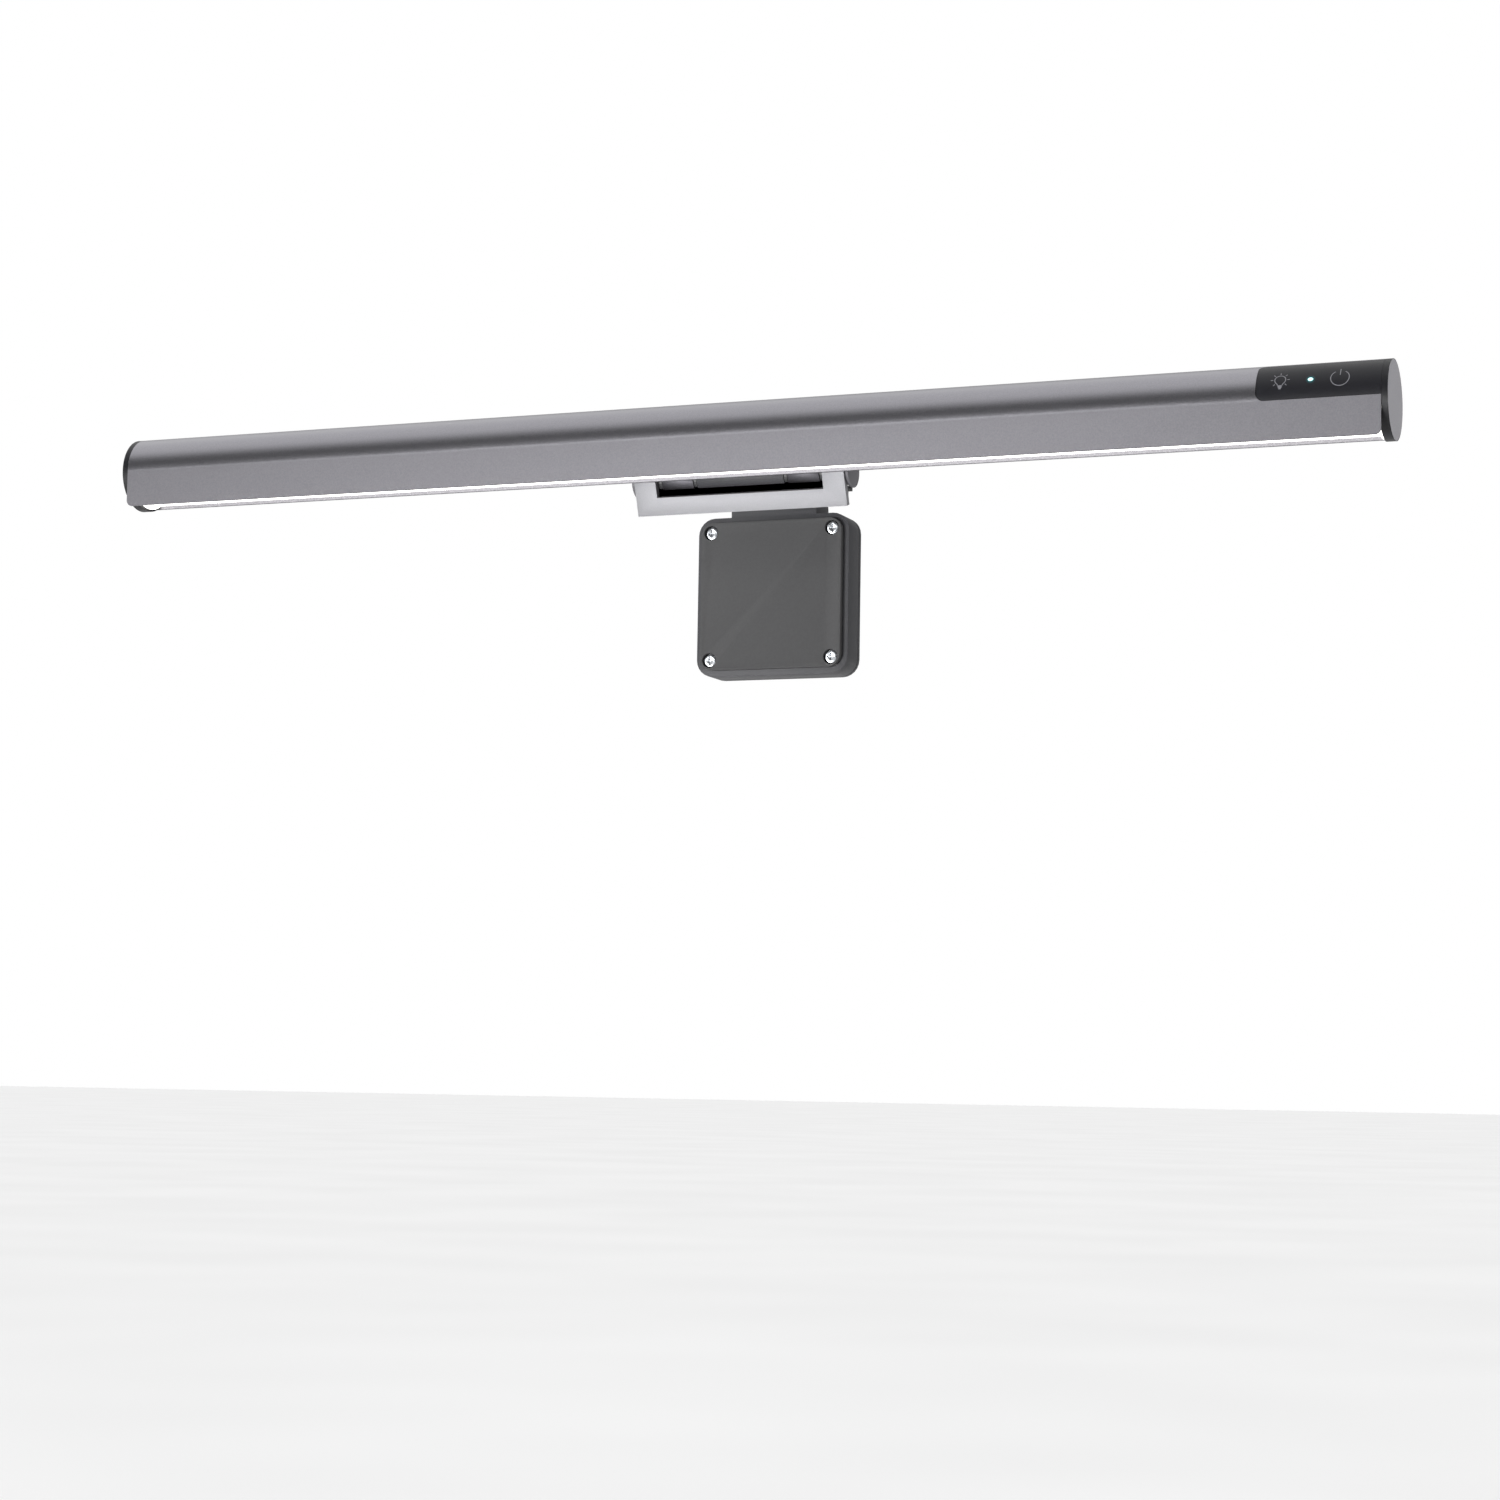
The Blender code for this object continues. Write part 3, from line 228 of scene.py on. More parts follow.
def lit_disc_aluminium():
    """The same anodising on the thin end discs, punched from sheet, coloured paler than the tube as painted
    light standing in for the light on the lamp's ends.
    """
    made, shader = new_material("end_disc_painted_light_grey", "#bdbcc1", 0.5, 1.0)
    grain(made, shader, 0.5 * MM, 0.004 * MM, ("#b4b3b8", "#c5c4c9"), (0.44, 0.54))
    return made


def lip_shaded_aluminium():
    """The lip's inner face: a darker painted shade than the flat, toning down the light it gets from the
    diffuser a few millimetres away.
    """
    made, shader = new_material("lip_aluminium_painted_shade", "#6c6b6f", 0.48, 1.0)
    grain(made, shader, 0.5 * MM, 0.004 * MM, ("#636266", "#757478"), (0.42, 0.54))
    return made


def saddle_aluminium():
    """The same anodising on the cast saddle: a little darker and rougher than the extrusion."""
    made, shader = new_material("grey_anodised_casting", "#474649", 0.5, 1.0)
    grain(made, shader, 0.4 * MM, 0.005 * MM, ("#414043", "#4d4c50"), (0.46, 0.56))
    return made


def silver_paint():
    """Silver lacquer over cast zinc: pale satin with fine metal flake."""
    made, shader = new_material("silver_lacquered_zinc", "#878789", 0.62, 0.75)
    grain(made, shader, 0.3 * MM, 0.003 * MM, ("#818184", "#8c8c8f"), (0.6, 0.68))
    return made


def moulded(name, colour, lighter, roughness, size=0.45, depth=0.004, specular=0.5):
    """Moulded plastic: a fine spark-eroded texture that breaks up its highlights."""
    made, shader = new_material(name, colour, roughness, Specular_IOR_Level=specular)
    grain(
        made, shader, size * MM, depth * MM, (colour, lighter), (roughness - 0.05, roughness + 0.06)
    )
    return made


def silicone_rubber():
    """Black silicone: matt, with a faint bloom and a soft uneven surface."""
    made, shader = new_material("black_silicone_rubber", "#343435", 0.75)
    grain(made, shader, 0.8 * MM, 0.01 * MM, ("#303031", "#3a3a3b"), (0.68, 0.82))
    return made


def zinc_steel():
    """Zinc plated steel: bright, with the fine lines of turning and rolling."""
    made, shader = new_material("zinc_plated_steel", "#b9bcc0", 0.3, 1.0)
    grain(
        made, shader, 0.25 * MM, 0.003 * MM, ("#aeb1b6", "#c4c7ca"), (0.22, 0.38), (1.0, 1.0, 0.25)
    )
    return made


def opal_plastic():
    """Opal polycarbonate lit from behind: an even white glow that hides the LEDs."""
    made, shader = new_material(
        "opal_polycarbonate", "#f2f1ee", 0.5, 0.0, Emission_Strength=DIFFUSER_GLOW
    )
    shader.inputs["Emission Color"].default_value = linear("#fffdf8")
    grain(made, shader, 0.5 * MM, 0.003 * MM, ("#efeeea", "#f6f5f2"), (0.45, 0.55))
    return made


def white_liner():
    """White polycarbonate liner: smooth and glossy, to throw the light down."""
    made, shader = new_material("white_reflector_polycarbonate", "#f4f4f2", 0.25)
    grain(made, shader, 1.5 * MM, 0.002 * MM, ("#f0f0ee", "#f7f7f6"), (0.2, 0.3))
    return made


def solder_mask():
    """White solder mask on a circuit board, slightly uneven over the copper under it."""
    made, shader = new_material("white_solder_mask", "#e6e8e4", 0.4)
    noise = grain(made, shader, 2.5 * MM, 0.01 * MM, ("#dfe3dd", "#eef0ec"), (0.32, 0.5))
    noise.inputs["Detail"].default_value = 1.0
    return made


def wire_sleeve(name, colour, lighter):
    """PVC wire sleeve: smooth, with a slight orange-peel."""
    made, shader = new_material(name, colour, 0.4)
    grain(made, shader, 0.6 * MM, 0.003 * MM, (colour, lighter), (0.35, 0.48))
    return made


def icon_ink():
    """Grey pad-printed ink: matt, faintly uneven in thickness."""
    made, shader = new_material("grey_printing_ink", "#68686d", 0.6)
    grain(made, shader, 0.2 * MM, 0.001 * MM, ("#636368", "#6d6d72"), (0.55, 0.65))
    return made


def gold_plate():
    """Gold flash on the socket's contacts: a warm mirror with rolling lines."""
    made, shader = new_material("gold_plated_contacts", "#e0b866", 0.25, 1.0)
    grain(made, shader, 0.2 * MM, 0.001 * MM, ("#d8ae5a", "#e6c276"), (0.2, 0.3))
    return made


def from_point(made, x, angle):
    """Distance in metres from a point on the tube's surface at rest, through Object coordinates."""
    centre = LAMP + Vector((x, *outward(angle, TUBE))) * MM
    place = add(made, "ShaderNodeTexCoord", {}, {}, [])
    away = add(
        made,
        "ShaderNodeVectorMath",
        {"operation": "DISTANCE"},
        {1: centre},
        [(0, place, "Object")],
    )
    return away


def panel_plastic():
    """Black ABS touch panel, satin, with a painted teal glow round the indicator's window that stands in for
    its light.
    """
    made = moulded("satin_black_touch_panel", "#111115", "#17171c", 0.45, 0.4, 0.002, 0.26)
    away = from_point(made, LED_X, ICON_HEIGHT)
    # Painted light: an emitted teal glow on the panel, fading out round the indicator
    painted_glow = add(
        made,
        "ShaderNodeMapRange",
        {"interpolation_type": "SMOOTHERSTEP"},
        {"From Min": 0.5 * MM, "From Max": 1.8 * MM, "To Min": 0.32, "To Max": 0.0},
        [("Value", away, "Value")],
    )
    shader = made.node_tree.nodes["Principled BSDF"]
    shader.inputs["Emission Color"].default_value = linear("#0c8f94")
    made.node_tree.links.new(painted_glow.outputs["Result"], shader.inputs["Emission Strength"])
    return made


def indicator_plastic():
    """Clear light pipe with a cyan LED behind it: pale in the middle, teal at its edge."""
    made, shader = new_material(
        "cyan_light_pipe", "#cfeeee", 0.3, 0.0, Emission_Strength=1.25
    )
    grain(made, shader, 0.6 * MM, 0.001 * MM, ("#c8eaea", "#d8f2f2"), (0.25, 0.35))
    away = from_point(made, LED_X, ICON_HEIGHT)
    near = add(
        made,
        "ShaderNodeMapRange",
        {},
        {"From Min": 0.15 * MM, "From Max": 0.85 * MM},
        [("Value", away, "Value")],
    )
    tone = add(made, "ShaderNodeValToRGB", {}, {}, [("Fac", near, "Result")])
    ramp(tone, (0.0, "#eefefd"), (0.35, "#a8efec"), (0.85, "#12989b"))
    made.node_tree.links.new(tone.outputs["Color"], shader.inputs["Emission Color"])
    return made


ALUMINIUM = blasted_aluminium()
DISC_PAINTED_LIGHT = lit_disc_aluminium()
LIP_PAINTED_SHADE = lip_shaded_aluminium()
CASTING = saddle_aluminium()
SILVER = silver_paint()
PANEL = panel_plastic()
CAP_BLACK = moulded("black_moulded_ABS", "#0f0f12", "#151519", 0.45, specular=0.26)
DARK_GREY = moulded("dark_grey_moulded_ABS", "#2f2f32", "#363639", 0.52, specular=0.3)
MID_GREY = moulded("mid_grey_moulded_ABS", "#535256", "#5b5a5e", 0.5, specular=0.35)
NYLON = moulded("black_nylon", "#1c1c1e", "#262628", 0.5)
SILICONE = silicone_rubber()
STEEL = zinc_steel()
OPAL = opal_plastic()
LINER = white_liner()
BOARD = solder_mask()
RED_SLEEVE = wire_sleeve("red_PVC_sleeve", "#9c1414", "#b01c1c")
BLACK_SLEEVE = wire_sleeve("black_PVC_sleeve", "#161616", "#202020")
INK = icon_ink()
GOLD = gold_plate()
LIGHT_PIPE = indicator_plastic()


# ---------------------------------------------------------------- modelling


def finish_piece(name, work, body, paint, at=LAMP, scale=MM, soft=0.0, segments=2):
    """Makes a piece from mesh work in millimetres round a point, rounds its edges and lets it ride."""
    bmesh.ops.scale(work, vec=(scale,) * 3, verts=work.verts)
    bmesh.ops.translate(work, vec=at, verts=work.verts)
    mesh = bpy.data.meshes.new(name)
    work.to_mesh(mesh)
    work.free()
    piece = bpy.data.objects.new(name, mesh)
    bpy.context.scene.collection.objects.link(piece)
    mesh.materials.append(paint)
    mesh.shade_smooth()
    if soft:
        round_edges(piece, soft, segments)
    else:
        mesh.set_sharp_from_angle(angle=SHARP)
    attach(piece, body)
    return piece


def round_edges(piece, width, segments=2):
    """A small rounding on every sharp edge, so it catches the light."""
    edges = piece.modifiers.new("rounded edges", "BEVEL")
    edges.width = width * MM
    edges.segments = segments
    edges.limit_method = "ANGLE"
    edges.angle_limit = SHARP
    edges.harden_normals = True
    edges.use_clamp_overlap = True


def arc(radius, start, end, step=2.0):
    """(y, z) points along an arc; polar angles run from +Y over +Z."""
    count = max(1, round(abs(end - start) / step))
    angles = [math.radians(start + (end - start) * i / count) for i in range(count + 1)]
    return [(radius * math.cos(a), radius * math.sin(a)) for a in angles]


def extruded(loops, start, end):
    """A section in (y, z), with holes, filled and extruded along X."""
    work = bmesh.new()
    for loop in loops:
        corners = [work.verts.new((start, y, z)) for y, z in loop]
        for i, corner in enumerate(corners):
            work.edges.new((corner, corners[i - 1]))
    if len(loops) == 1:
        bmesh.ops.contextual_create(work, geom=work.edges)
    else:
        bmesh.ops.triangle_fill(work, edges=work.edges, use_beauty=True)
    made = bmesh.ops.extrude_face_region(work, geom=work.faces)
    moved = [v for v in made["geom"] if isinstance(v, bmesh.types.BMVert)]
    bmesh.ops.translate(work, vec=(end - start, 0, 0), verts=moved)
    bmesh.ops.recalc_face_normals(work, faces=work.faces)
    return work


def disc(radius, start, end, segments=96):
    """A round disc along X between two places."""
    work = bmesh.new()
    bmesh.ops.create_cone(
        work,
        cap_ends=True,
        segments=segments,
        radius1=radius,
        radius2=radius,
        depth=abs(end - start),
    )
    turn = Matrix.Rotation(math.radians(90), 3, "Y")
    bmesh.ops.rotate(work, cent=(0, 0, 0), matrix=turn, verts=work.verts)
    bmesh.ops.translate(work, vec=((start + end) / 2, 0, 0), verts=work.verts)
    return work


def combined(piece, work, operation):
    """Cuts work, in millimetres round the lamp's axis, from a piece, or joins it or keeps what they share."""
    bmesh.ops.scale(work, vec=(MM,) * 3, verts=work.verts)
    bmesh.ops.translate(work, vec=LAMP, verts=work.verts)
    mesh = bpy.data.meshes.new("tool")
    work.to_mesh(mesh)
    work.free()
    tool = bpy.data.objects.new("tool", mesh)
    bpy.context.scene.collection.objects.link(tool)
    step = piece.modifiers.new("step", "BOOLEAN")
    step.operation = operation
    step.object = tool
    step.solver = "EXACT"
    while piece.modifiers.find("step") > 0:
        piece.modifiers.move(piece.modifiers.find("step"), 0)
    shown = [m for m in piece.modifiers if m.name != "step"]
    for other in shown:
        other.show_viewport = False
    bpy.context.view_layer.update()
    graph = bpy.context.evaluated_depsgraph_get()
    made = bpy.data.meshes.new_from_object(piece.evaluated_get(graph))
    piece.modifiers.remove(step)
    for other in shown:
        other.show_viewport = True
    old = piece.data
    made.name = old.name
    piece.data = made
    bpy.data.meshes.remove(old)
    bpy.data.objects.remove(tool)
    bpy.data.meshes.remove(mesh)
    made.shade_smooth()
    made.set_sharp_from_angle(angle=SHARP)


def box_work(low, high):
    """A box between two corners, in millimetres."""
    low, high = Vector(low), Vector(high)
    work = bmesh.new()
    bmesh.ops.create_cube(work, size=1.0)
    bmesh.ops.scale(work, vec=high - low, verts=work.verts)
    bmesh.ops.translate(work, vec=(low + high) / 2, verts=work.verts)
    return work


def from_cad(node, paint, soft, segments=2, name=None):
    """A clean copy of a CAD node with its flat faces whole and its edges rounded, in the node's place."""
    work = bmesh.new()
    work.from_mesh(frame["nodes"][node].data)
    bmesh.ops.remove_doubles(work, verts=work.verts, dist=0.002 * MM)
    bmesh.ops.dissolve_limit(
        work,
        angle_limit=math.radians(1.0),
        verts=work.verts,
        edges=work.edges,
        use_dissolve_boundaries=False,
    )
    body = next(b for b, members in frame["record"]["behaviour"]["bodies"].items() if node in members)
    piece = finish_piece(name or f"{node}_finished", work, body, paint, (0, 0, 0), 1.0, soft, segments)
    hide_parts(node)
    return piece


# ---------------------------------------------------------------- the lamp


def panel_outline(margin):
    """A rounded rectangle that runs outwards through the tube's wall where the touch panel sits."""
    half_angle = math.radians((PANEL_HIGH - PANEL_LOW) / 2)
    half = TUBE * math.sin(half_angle) + margin
    inside, outside = 8.7, 16.0  # well to each side of the tube's wall
    work = box_work((PANEL_LEFT - margin, -half, inside), (TUBE_END + 10.0, half, outside))
    left = [
        e
        for e in work.edges
        if e.verts[0].co.x + e.verts[1].co.x < 2 * PANEL_LEFT + 1
        and abs(e.verts[0].co.z - e.verts[1].co.z) > 1
    ]
    bmesh.ops.bevel(
        work,
        geom=left,
        offset=PANEL_CORNER + margin,
        segments=10,
        profile=0.5,
        affect="EDGES",
        material=-1,
    )
    middle = math.radians((PANEL_LOW + PANEL_HIGH) / 2)
    outwards = Vector((0, -math.cos(middle), math.sin(middle)))
    along = Vector((1, 0, 0))
    turn = Matrix((along, outwards.cross(along), outwards)).transposed()
    bmesh.ops.rotate(work, cent=(0, 0, 0), matrix=turn, verts=work.verts)
    return work


def stadium_work(width, height, y_from, y_to, x, z):
    """A flat-sided oval bar along Y."""
    work = box_work((x - width / 2, y_from, z - height / 2), (x + width / 2, y_to, z + height / 2))
    sides = [e for e in work.edges if abs(e.verts[0].co.y - e.verts[1].co.y) > 0.1]
    bmesh.ops.bevel(
        work, geom=sides, offset=height * 0.499, segments=8, profile=0.5, affect="EDGES", material=-1
    )
    return work


def lamp_section():
    """The extrusion's outline: round tube, flat visor in front, short lip at the back, web inside."""
    inner = TUBE - WALL
    edge = 0.12
    outer = [(-TUBE, 0.0)] + arc(TUBE, 180, -math.degrees(math.acos(LIP_BACK / TUBE)))[1:]
    outer += [(LIP_BACK, -LIP_DROP + edge), (LIP_BACK - edge, -LIP_DROP)]
    outer += [(LIP_FRONT + edge, -LIP_DROP), (LIP_FRONT, -LIP_DROP + edge)]
    web_angle = math.degrees(math.asin(WEB_BOTTOM / inner))
    outer += arc(inner, -math.degrees(math.acos(LIP_FRONT / inner)), web_angle)
    outer += [(-TUBE + VISOR, WEB_BOTTOM), (-TUBE + VISOR, -VISOR_DROP + edge)]
    outer += [(-TUBE + VISOR - edge, -VISOR_DROP), (-TUBE + edge, -VISOR_DROP)]
    outer += [(-TUBE, -VISOR_DROP + edge)]
    limit = math.degrees(math.asin(WEB_TOP / inner))
    chamber = arc(inner, limit, 180 - limit, 4.0)
    return outer, chamber


def lamp_housing():
    """The extrusion, with the touch panel's opening and the socket's slot, and the lip's inner face painted a
    darker shade.
    """
    outer, chamber = lamp_section()
    work = extruded([outer, chamber], -TUBE_END, TUBE_END)
    # Rounded lower corners at the visor's two ends
    radius = 2.0
    depths = [radius * (1 - math.cos(math.radians(9 * i))) for i in range(11)]
    for side in (-1, 1):
        for depth in depths[1:]:
            bmesh.ops.bisect_plane(
                work,
                geom=work.verts[:] + work.edges[:] + work.faces[:],
                plane_co=(side * (TUBE_END - depth), 0, 0),
                plane_no=(1, 0, 0),
            )
    for vert in work.verts:
        depth = TUBE_END - abs(vert.co.x)
        if vert.co.z < -VISOR_DROP + VISOR and vert.co.y < -TUBE + VISOR + 0.01 and depth < radius:
            vert.co.z += radius - math.sqrt(max(0.0, radius**2 - (radius - depth) ** 2))
    housing = finish_piece("lamp_housing_finished", work, "lamp", ALUMINIUM)
    combined(housing, panel_outline(0.13), "DIFFERENCE")
    usb_low, usb_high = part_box("usb_shell")
    x = (usb_low.x + usb_high.x) / 2 / MM
    z = ((usb_low.z + usb_high.z) / 2 - LAMP.z) / MM
    combined(housing, stadium_work(9.9, 4.2, 4.5, 15.0, x, z), "DIFFERENCE")
    # Painted shade: the lip's inner face takes the darker lip material
    housing.data.materials.append(LIP_PAINTED_SHADE)
    lip = LAMP + Vector((0, LIP_FRONT, -LIP_DROP)) * MM
    for face in housing.data.polygons:
        if face.normal.y < -0.5 and (face.center - lip).yz.length < 2.5 * MM:
            face.material_index = 1
    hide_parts("lamp_housing")


def touch_panel():
    """A rounded piece of the tube's own curve, flush with it."""
    shell = arc(TUBE, 106, 192) + arc(TUBE - WALL, 192, 106)
    work = extruded([shell], PANEL_LEFT - 2.0, TUBE_END)
    panel = finish_piece("touch_panel", work, "lamp", PANEL)
    combined(panel, panel_outline(0.0), "INTERSECT")
    round_edges(panel, 0.12)
    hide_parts("control_panel")


def wrapped(work, x):
    """Bends flat mesh work, drawn in (x, y) millimetres, round the tube at an icon's place."""
    for vert in work.verts:
        angle = ICON_HEIGHT + math.degrees(vert.co.y / TUBE)
        y, z = outward(angle, TUBE + 0.012)
        vert.co = (x + vert.co.x, y, z)


def bar_work(work, start, end, width):
    """Adds a flat stroke with square ends, in cells short enough to bend."""
    start, end = Vector((*start, 0)), Vector((*end, 0))
    run = end - start
    turn = Matrix.Rotation(math.atan2(run.y, run.x), 4, "Z")
    cells = max(1, round(run.length / 0.4))
    bmesh.ops.create_grid(
        work,
        x_segments=cells,
        y_segments=1,
        size=0.5,
        matrix=Matrix.Translation((start + end) / 2) @ turn @ Matrix.Diagonal((run.length, width, 1, 1)),
    )


def ring_work(work, radius, width, start, end):
    """Adds a flat arc stroke, by spinning a short radial edge."""
    a = math.radians(start)
    inner = work.verts.new(((radius - width / 2) * math.cos(a), (radius - width / 2) * math.sin(a), 0))
    outer = work.verts.new(((radius + width / 2) * math.cos(a), (radius + width / 2) * math.sin(a), 0))
    edge = work.edges.new((inner, outer))
    bmesh.ops.spin(
        work,
        geom=[inner, outer, edge],
        cent=(0, 0, 0),
        axis=(0, 0, 1),
        angle=math.radians(end - start),
        steps=max(2, round(abs(end - start) / 7.5)),
        use_merge=False,
    )


def icon(name, work, x):
    """Wraps a flat mark on the touch panel, facing out."""
    bmesh.ops.recalc_face_normals(work, faces=work.faces)
    wrapped(work, x)
    for face in work.faces:
        face.normal_update()
        if face.normal.y > 0:
            face.normal_flip()
    return finish_piece(name, work, "lamp", INK)


def lamp_mark():
    """A light bulb with seven rays."""
    work = bmesh.new()
    line = 0.28
    up = 0.45  # the bulb's centre above the mark's middle
    ring_work(work, 1.7, line, -56, 236)
    for side in (-1, 1):
        bar_work(work, (side * 0.98, -1.42), (side * 0.68, -2.0), line)
    bar_work(work, (-0.68, -2.25), (0.68, -2.25), 0.52)
    bar_work(work, (-0.56, -2.72), (0.56, -2.72), 0.5)
    bar_work(work, (-0.36, -3.16), (0.36, -3.16), 0.42)
    for i in range(7):
        a = math.radians(-45 + i * 45)
        start = (2.2 * math.cos(a), 2.2 * math.sin(a))
        end = (2.95 * math.cos(a), 2.95 * math.sin(a))
        bar_work(work, start, end, 0.26)
    bmesh.ops.translate(work, vec=(0, up, 0), verts=work.verts)
    icon("lamp_mark", work, BULB_X)


def power_mark():
    """An open ring with a bar in its gap."""
    work = bmesh.new()
    line = 0.28
    ring_work(work, 2.88, line, 122, 418)
    bar_work(work, (0, 1.05), (0, 3.7), line)
    icon("power_mark", work, POWER_X)


def end_cap(side):
    """Black rim and sill at one end, and the thin metal disc let into it."""
    word = "left" if side < 0 else "right"
    seat, outside = side * (TUBE_END + 0.06), side * LAMP_END
    work = disc(TUBE, seat, outside, 128)
    outer = max(work.faces, key=lambda f: side * f.calc_center_median().x if len(f.verts) > 4 else -1e9)
    bmesh.ops.inset_region(work, faces=[outer], thickness=0.1, use_even_offset=True)
    bmesh.ops.translate(work, vec=(-side * 0.7, 0, 0), verts=outer.verts[:])
    cap = finish_piece(f"end_cap_{word}_finished", work, "lamp", CAP_BLACK)
    front = -math.degrees(math.acos((-TUBE + VISOR + 0.05) / TUBE))
    back = LIP_FRONT - 0.3
    sill = arc(TUBE, front, -math.degrees(math.acos(back / TUBE)))
    sill += [(back, 9.0 * math.sin(math.radians(-46)))] + arc(9.0, -46.0, -150.0, 4.0)
    inner, outer_x = sorted((side * SILL, seat + side * 0.5))
    combined(cap, extruded([sill], inner, outer_x), "UNION")
    round_edges(cap, 0.06)
    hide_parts(f"end_cap_{word}")

    # The disc's paler grey is painted light on the lamp's end
    face = disc(12.66, side * (LAMP_END - 0.5), side * LAMP_END, 128)
    plate = finish_piece(
        f"end_disc_{word}_finished", face, "lamp", DISC_PAINTED_LIGHT, soft=0.05
    )
    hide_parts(f"end_disc_{word}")


def diffuser():
    """Opal strip curved under the light chamber."""
    inner = DIFFUSER - DIFFUSER_WALL
    end = SILL - 0.3
    loop = arc(DIFFUSER, -155, -36) + arc(inner, -36, -155)
    piece = finish_piece("diffuser_finished", extruded([loop], -end, end), "lamp", OPAL)
    # A flange at each end meets the cap
    flange = arc(FLANGE, -147, -58.5) + arc(inner + 0.3, -58.5, -147)
    for side in (-1, 1):
        first, last = sorted((side * end, side * (end - 0.6)))
        combined(piece, extruded([flange], first, last), "UNION")
    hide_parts("diffuser")


def socket_contacts():
    """Twelve gold contacts on each face of the socket's tongue."""
    low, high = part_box("usb_tongue")
    middle = (low + high) / 2
    work = bmesh.new()
    for face in (-1, 1):
        for i in range(12):
            place = Matrix.Translation(((i - 5.5) * 0.5, 1.6, face * 0.36))
            bmesh.ops.create_cube(
                work, size=1.0, matrix=place @ Matrix.Diagonal((0.24, 2.8, 0.05, 1))
            )
    finish_piece("socket_contacts", work, "lamp", GOLD, middle)


lamp_housing()
touch_panel()
lamp_mark()
power_mark()
for side in (-1, 1):
    end_cap(side)
diffuser()
socket_contacts()

FINISHES = {
    "lamp_saddle": (CASTING, 0.3),
    "claw_frame": (SILVER, 0.22),
    "claw_pad": (SILICONE, 0.25),
    "pin_cap_left": (MID_GREY, 0.15),
    "pin_cap_right": (MID_GREY, 0.15),
    "rear_arm": (DARK_GREY, 0.7),
    "rear_cover": (DARK_GREY, 0.5),
    "rear_pad": (SILICONE, 0.4),
    "counterweight": (STEEL, 0.3),
    "usb_shell": (STEEL, 0.06),
    "usb_tongue": (NYLON, 0.08),
    "indicator_lens": (LIGHT_PIPE, 0.08),
}
for node, (paint, soft) in FINISHES.items():
    from_cad(node, paint, soft, 3 if soft > 0.3 else 2)

PLAIN = {
    "light_reflector": LINER,
    "led_board": BOARD,
    "driver_board": BOARD,
    "led_wire_positive": RED_SLEEVE,
    "led_wire_negative": BLACK_SLEEVE,
    "touch_spring_light": STEEL,
    "touch_spring_power": STEEL,
    "hinge_pin": STEEL,
}
for number in range(1, 5):
    PLAIN[f"hinge_washer_{number}"] = NYLON
for node, paint in PLAIN.items():
    for place in frame["nodes"][node].material_slots:
        place.material = paint

for node in sorted(frame["nodes"]):
    if "screw" in node:
        from_cad(node, STEEL, 0.08)


# ---------------------------------------------------------------- the studio


def studio_floor():
    """A wide pale floor at desk height, well below the lamp."""
    work = bmesh.new()
    bmesh.ops.create_grid(work, x_segments=2, y_segments=2, size=30.0)
    mesh = bpy.data.meshes.new("studio_floor")
    work.to_mesh(mesh)
    work.free()
    floor = bpy.data.objects.new("studio_floor", mesh)
    bpy.context.scene.collection.objects.link(floor)
    floor.location = (0, 0, -0.45)
    made, shader = new_material("pale_studio_floor", "#f2f2f2", 0.9)
    noise = grain(made, shader, 0.5, 0.0, ("#f0f0f0", "#f4f4f4"), (0.88, 0.92))
    noise.inputs["Detail"].default_value = 1.0
    mesh.materials.append(made)


def area_light(name, location, target, size, power, colour="#ffffff"):
    data = bpy.data.lights.new(name, "AREA")
    data.shape = "RECTANGLE"
    data.size, data.size_y = size
    data.energy = power
    data.color = linear(colour)[:3]
    light = bpy.data.objects.new(name, data)
    bpy.context.scene.collection.objects.link(light)
    light.location = location
    light.rotation_euler = (Vector(target) - Vector(location)).to_track_quat("-Z", "Y").to_euler()
    light.visible_camera = False
    return light


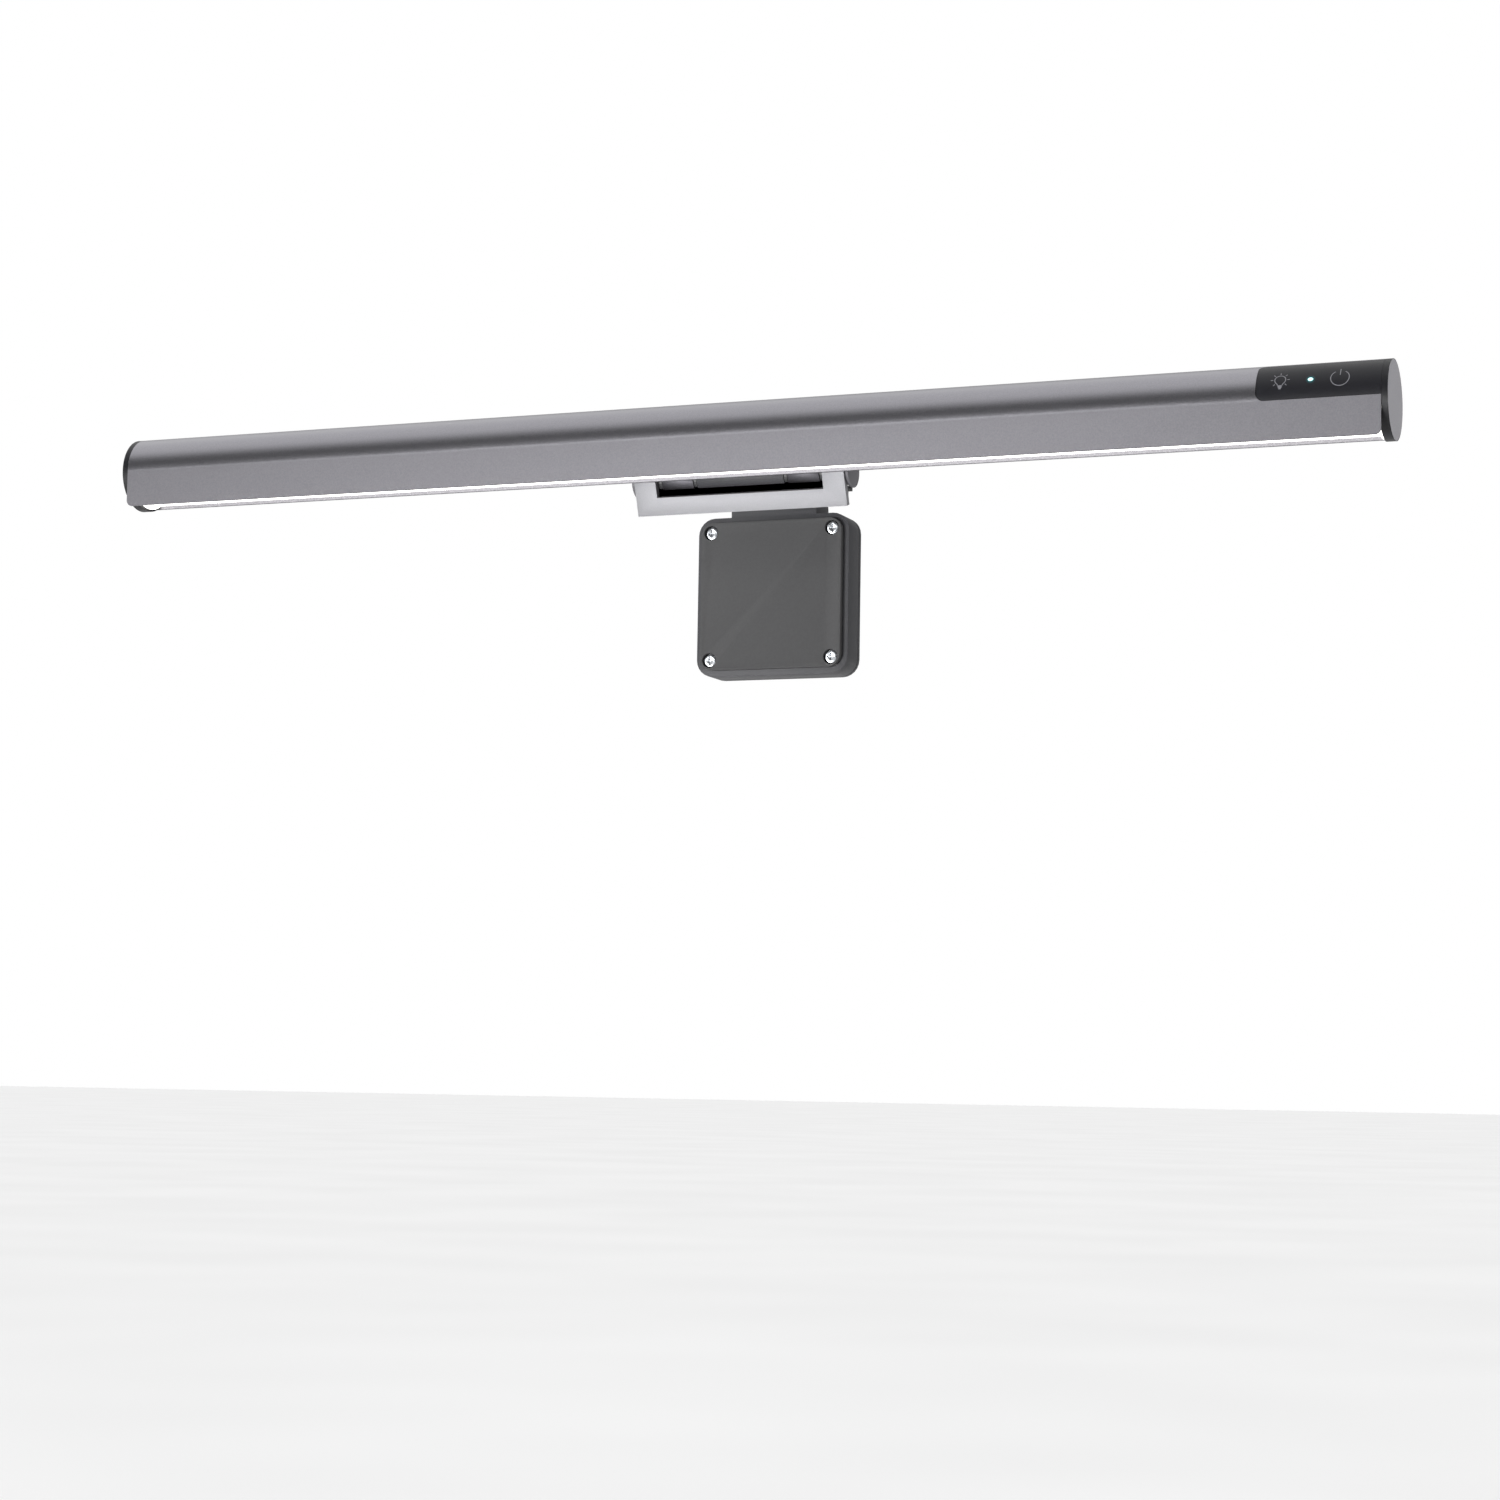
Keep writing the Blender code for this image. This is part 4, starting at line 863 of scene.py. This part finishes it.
def studio_world():
    """A pale studio: bright overhead, greyer behind, and dark in front above the horizon."""
    world = bpy.data.worlds.new("studio")
    world.use_nodes = True
    bpy.context.scene.world = world
    background = world.node_tree.nodes["Background"]
    place = add(world, "ShaderNodeTexCoord", {}, {}, [])
    parts = add(world, "ShaderNodeSeparateXYZ", {}, {}, [("Vector", place, "Generated")])
    ahead = add(world, "ShaderNodeMath", {"operation": "MULTIPLY"}, {1: -1.0}, [(0, parts, "Y")])
    turn = add(
        world, "ShaderNodeMath", {"operation": "ARCTAN2"}, {}, [(0, parts, "Z"), (1, ahead, "Value")]
    )
    share = add(
        world, "ShaderNodeMath", {"operation": "DIVIDE"}, {1: math.pi}, [(0, turn, "Value")]
    )
    light = add(world, "ShaderNodeMapRange", {}, {"To Max": WORLD_LIGHT}, [])
    levels = add(world, "ShaderNodeValToRGB", {}, {}, [("Fac", share, "Value")])
    # From the horizon in front, over the top, to the horizon behind
    ramp(levels, *[(degrees / 180, colour) for degrees, colour in WORLD_LEVELS])
    world.node_tree.links.new(levels.outputs["Color"], light.inputs["Value"])
    path = add(world, "ShaderNodeLightPath", {}, {}, [])
    shown = add(
        world,
        "ShaderNodeMix",
        {"data_type": "FLOAT"},
        {"B": 1.0},
        [("Factor", path, "Is Camera Ray"), ("A", light, "Result")],
    )
    background.inputs["Color"].default_value = linear("#ffffff")
    world.node_tree.links.new(shown.outputs["Result"], background.inputs["Strength"])


def camera():
    """Looks along the lamp from its touch controls' side, from a little below; angles in radians."""
    yaw, pitch, roll = 0.37528, 0.10089, 0.01617
    data = bpy.data.cameras.new("view")
    data.sensor_width = 36.0
    data.lens = 36.0 * 3213.6 / 1500
    data.clip_start, data.clip_end = 0.01, 100.0
    made = bpy.data.objects.new("view", data)
    bpy.context.scene.collection.objects.link(made)
    forward = Vector(
        (-math.sin(yaw) * math.cos(pitch), math.cos(yaw) * math.cos(pitch), math.sin(pitch))
    )
    right = Vector((math.cos(yaw), math.sin(yaw), 0.0))
    above = right.cross(forward)
    tilted_right = right * math.cos(roll) + above * math.sin(roll)
    tilted_up = above * math.cos(roll) - right * math.sin(roll)
    turn = Matrix((tilted_right, tilted_up, -forward)).transposed().to_4x4()
    made.matrix_world = Matrix.Translation(LAMP + Vector((0.3994, -0.9827, -0.2112))) @ turn
    bpy.context.scene.camera = made


WORLD_LIGHT = 1.4
WORLD_LEVELS = (
    (0, "#6c6c6c"),
    (8, "#606060"),
    (16, "#3c3c3c"),
    (42, "#404040"),
    (66, "#ffffff"),
    (128, "#ffffff"),
    (150, "#8c8c8c"),
    (180, "#8c8c8c"),
)
studio_floor()
bpy.context.scene.view_settings.view_transform = "Standard"
studio_world()
camera()
# A low softbox in front, a little to the left, brightens the visor's middle
area_light("front_softbox", LAMP + Vector((-0.42, -1.35, -0.33)), LAMP, (0.4, 0.2), 23.0)
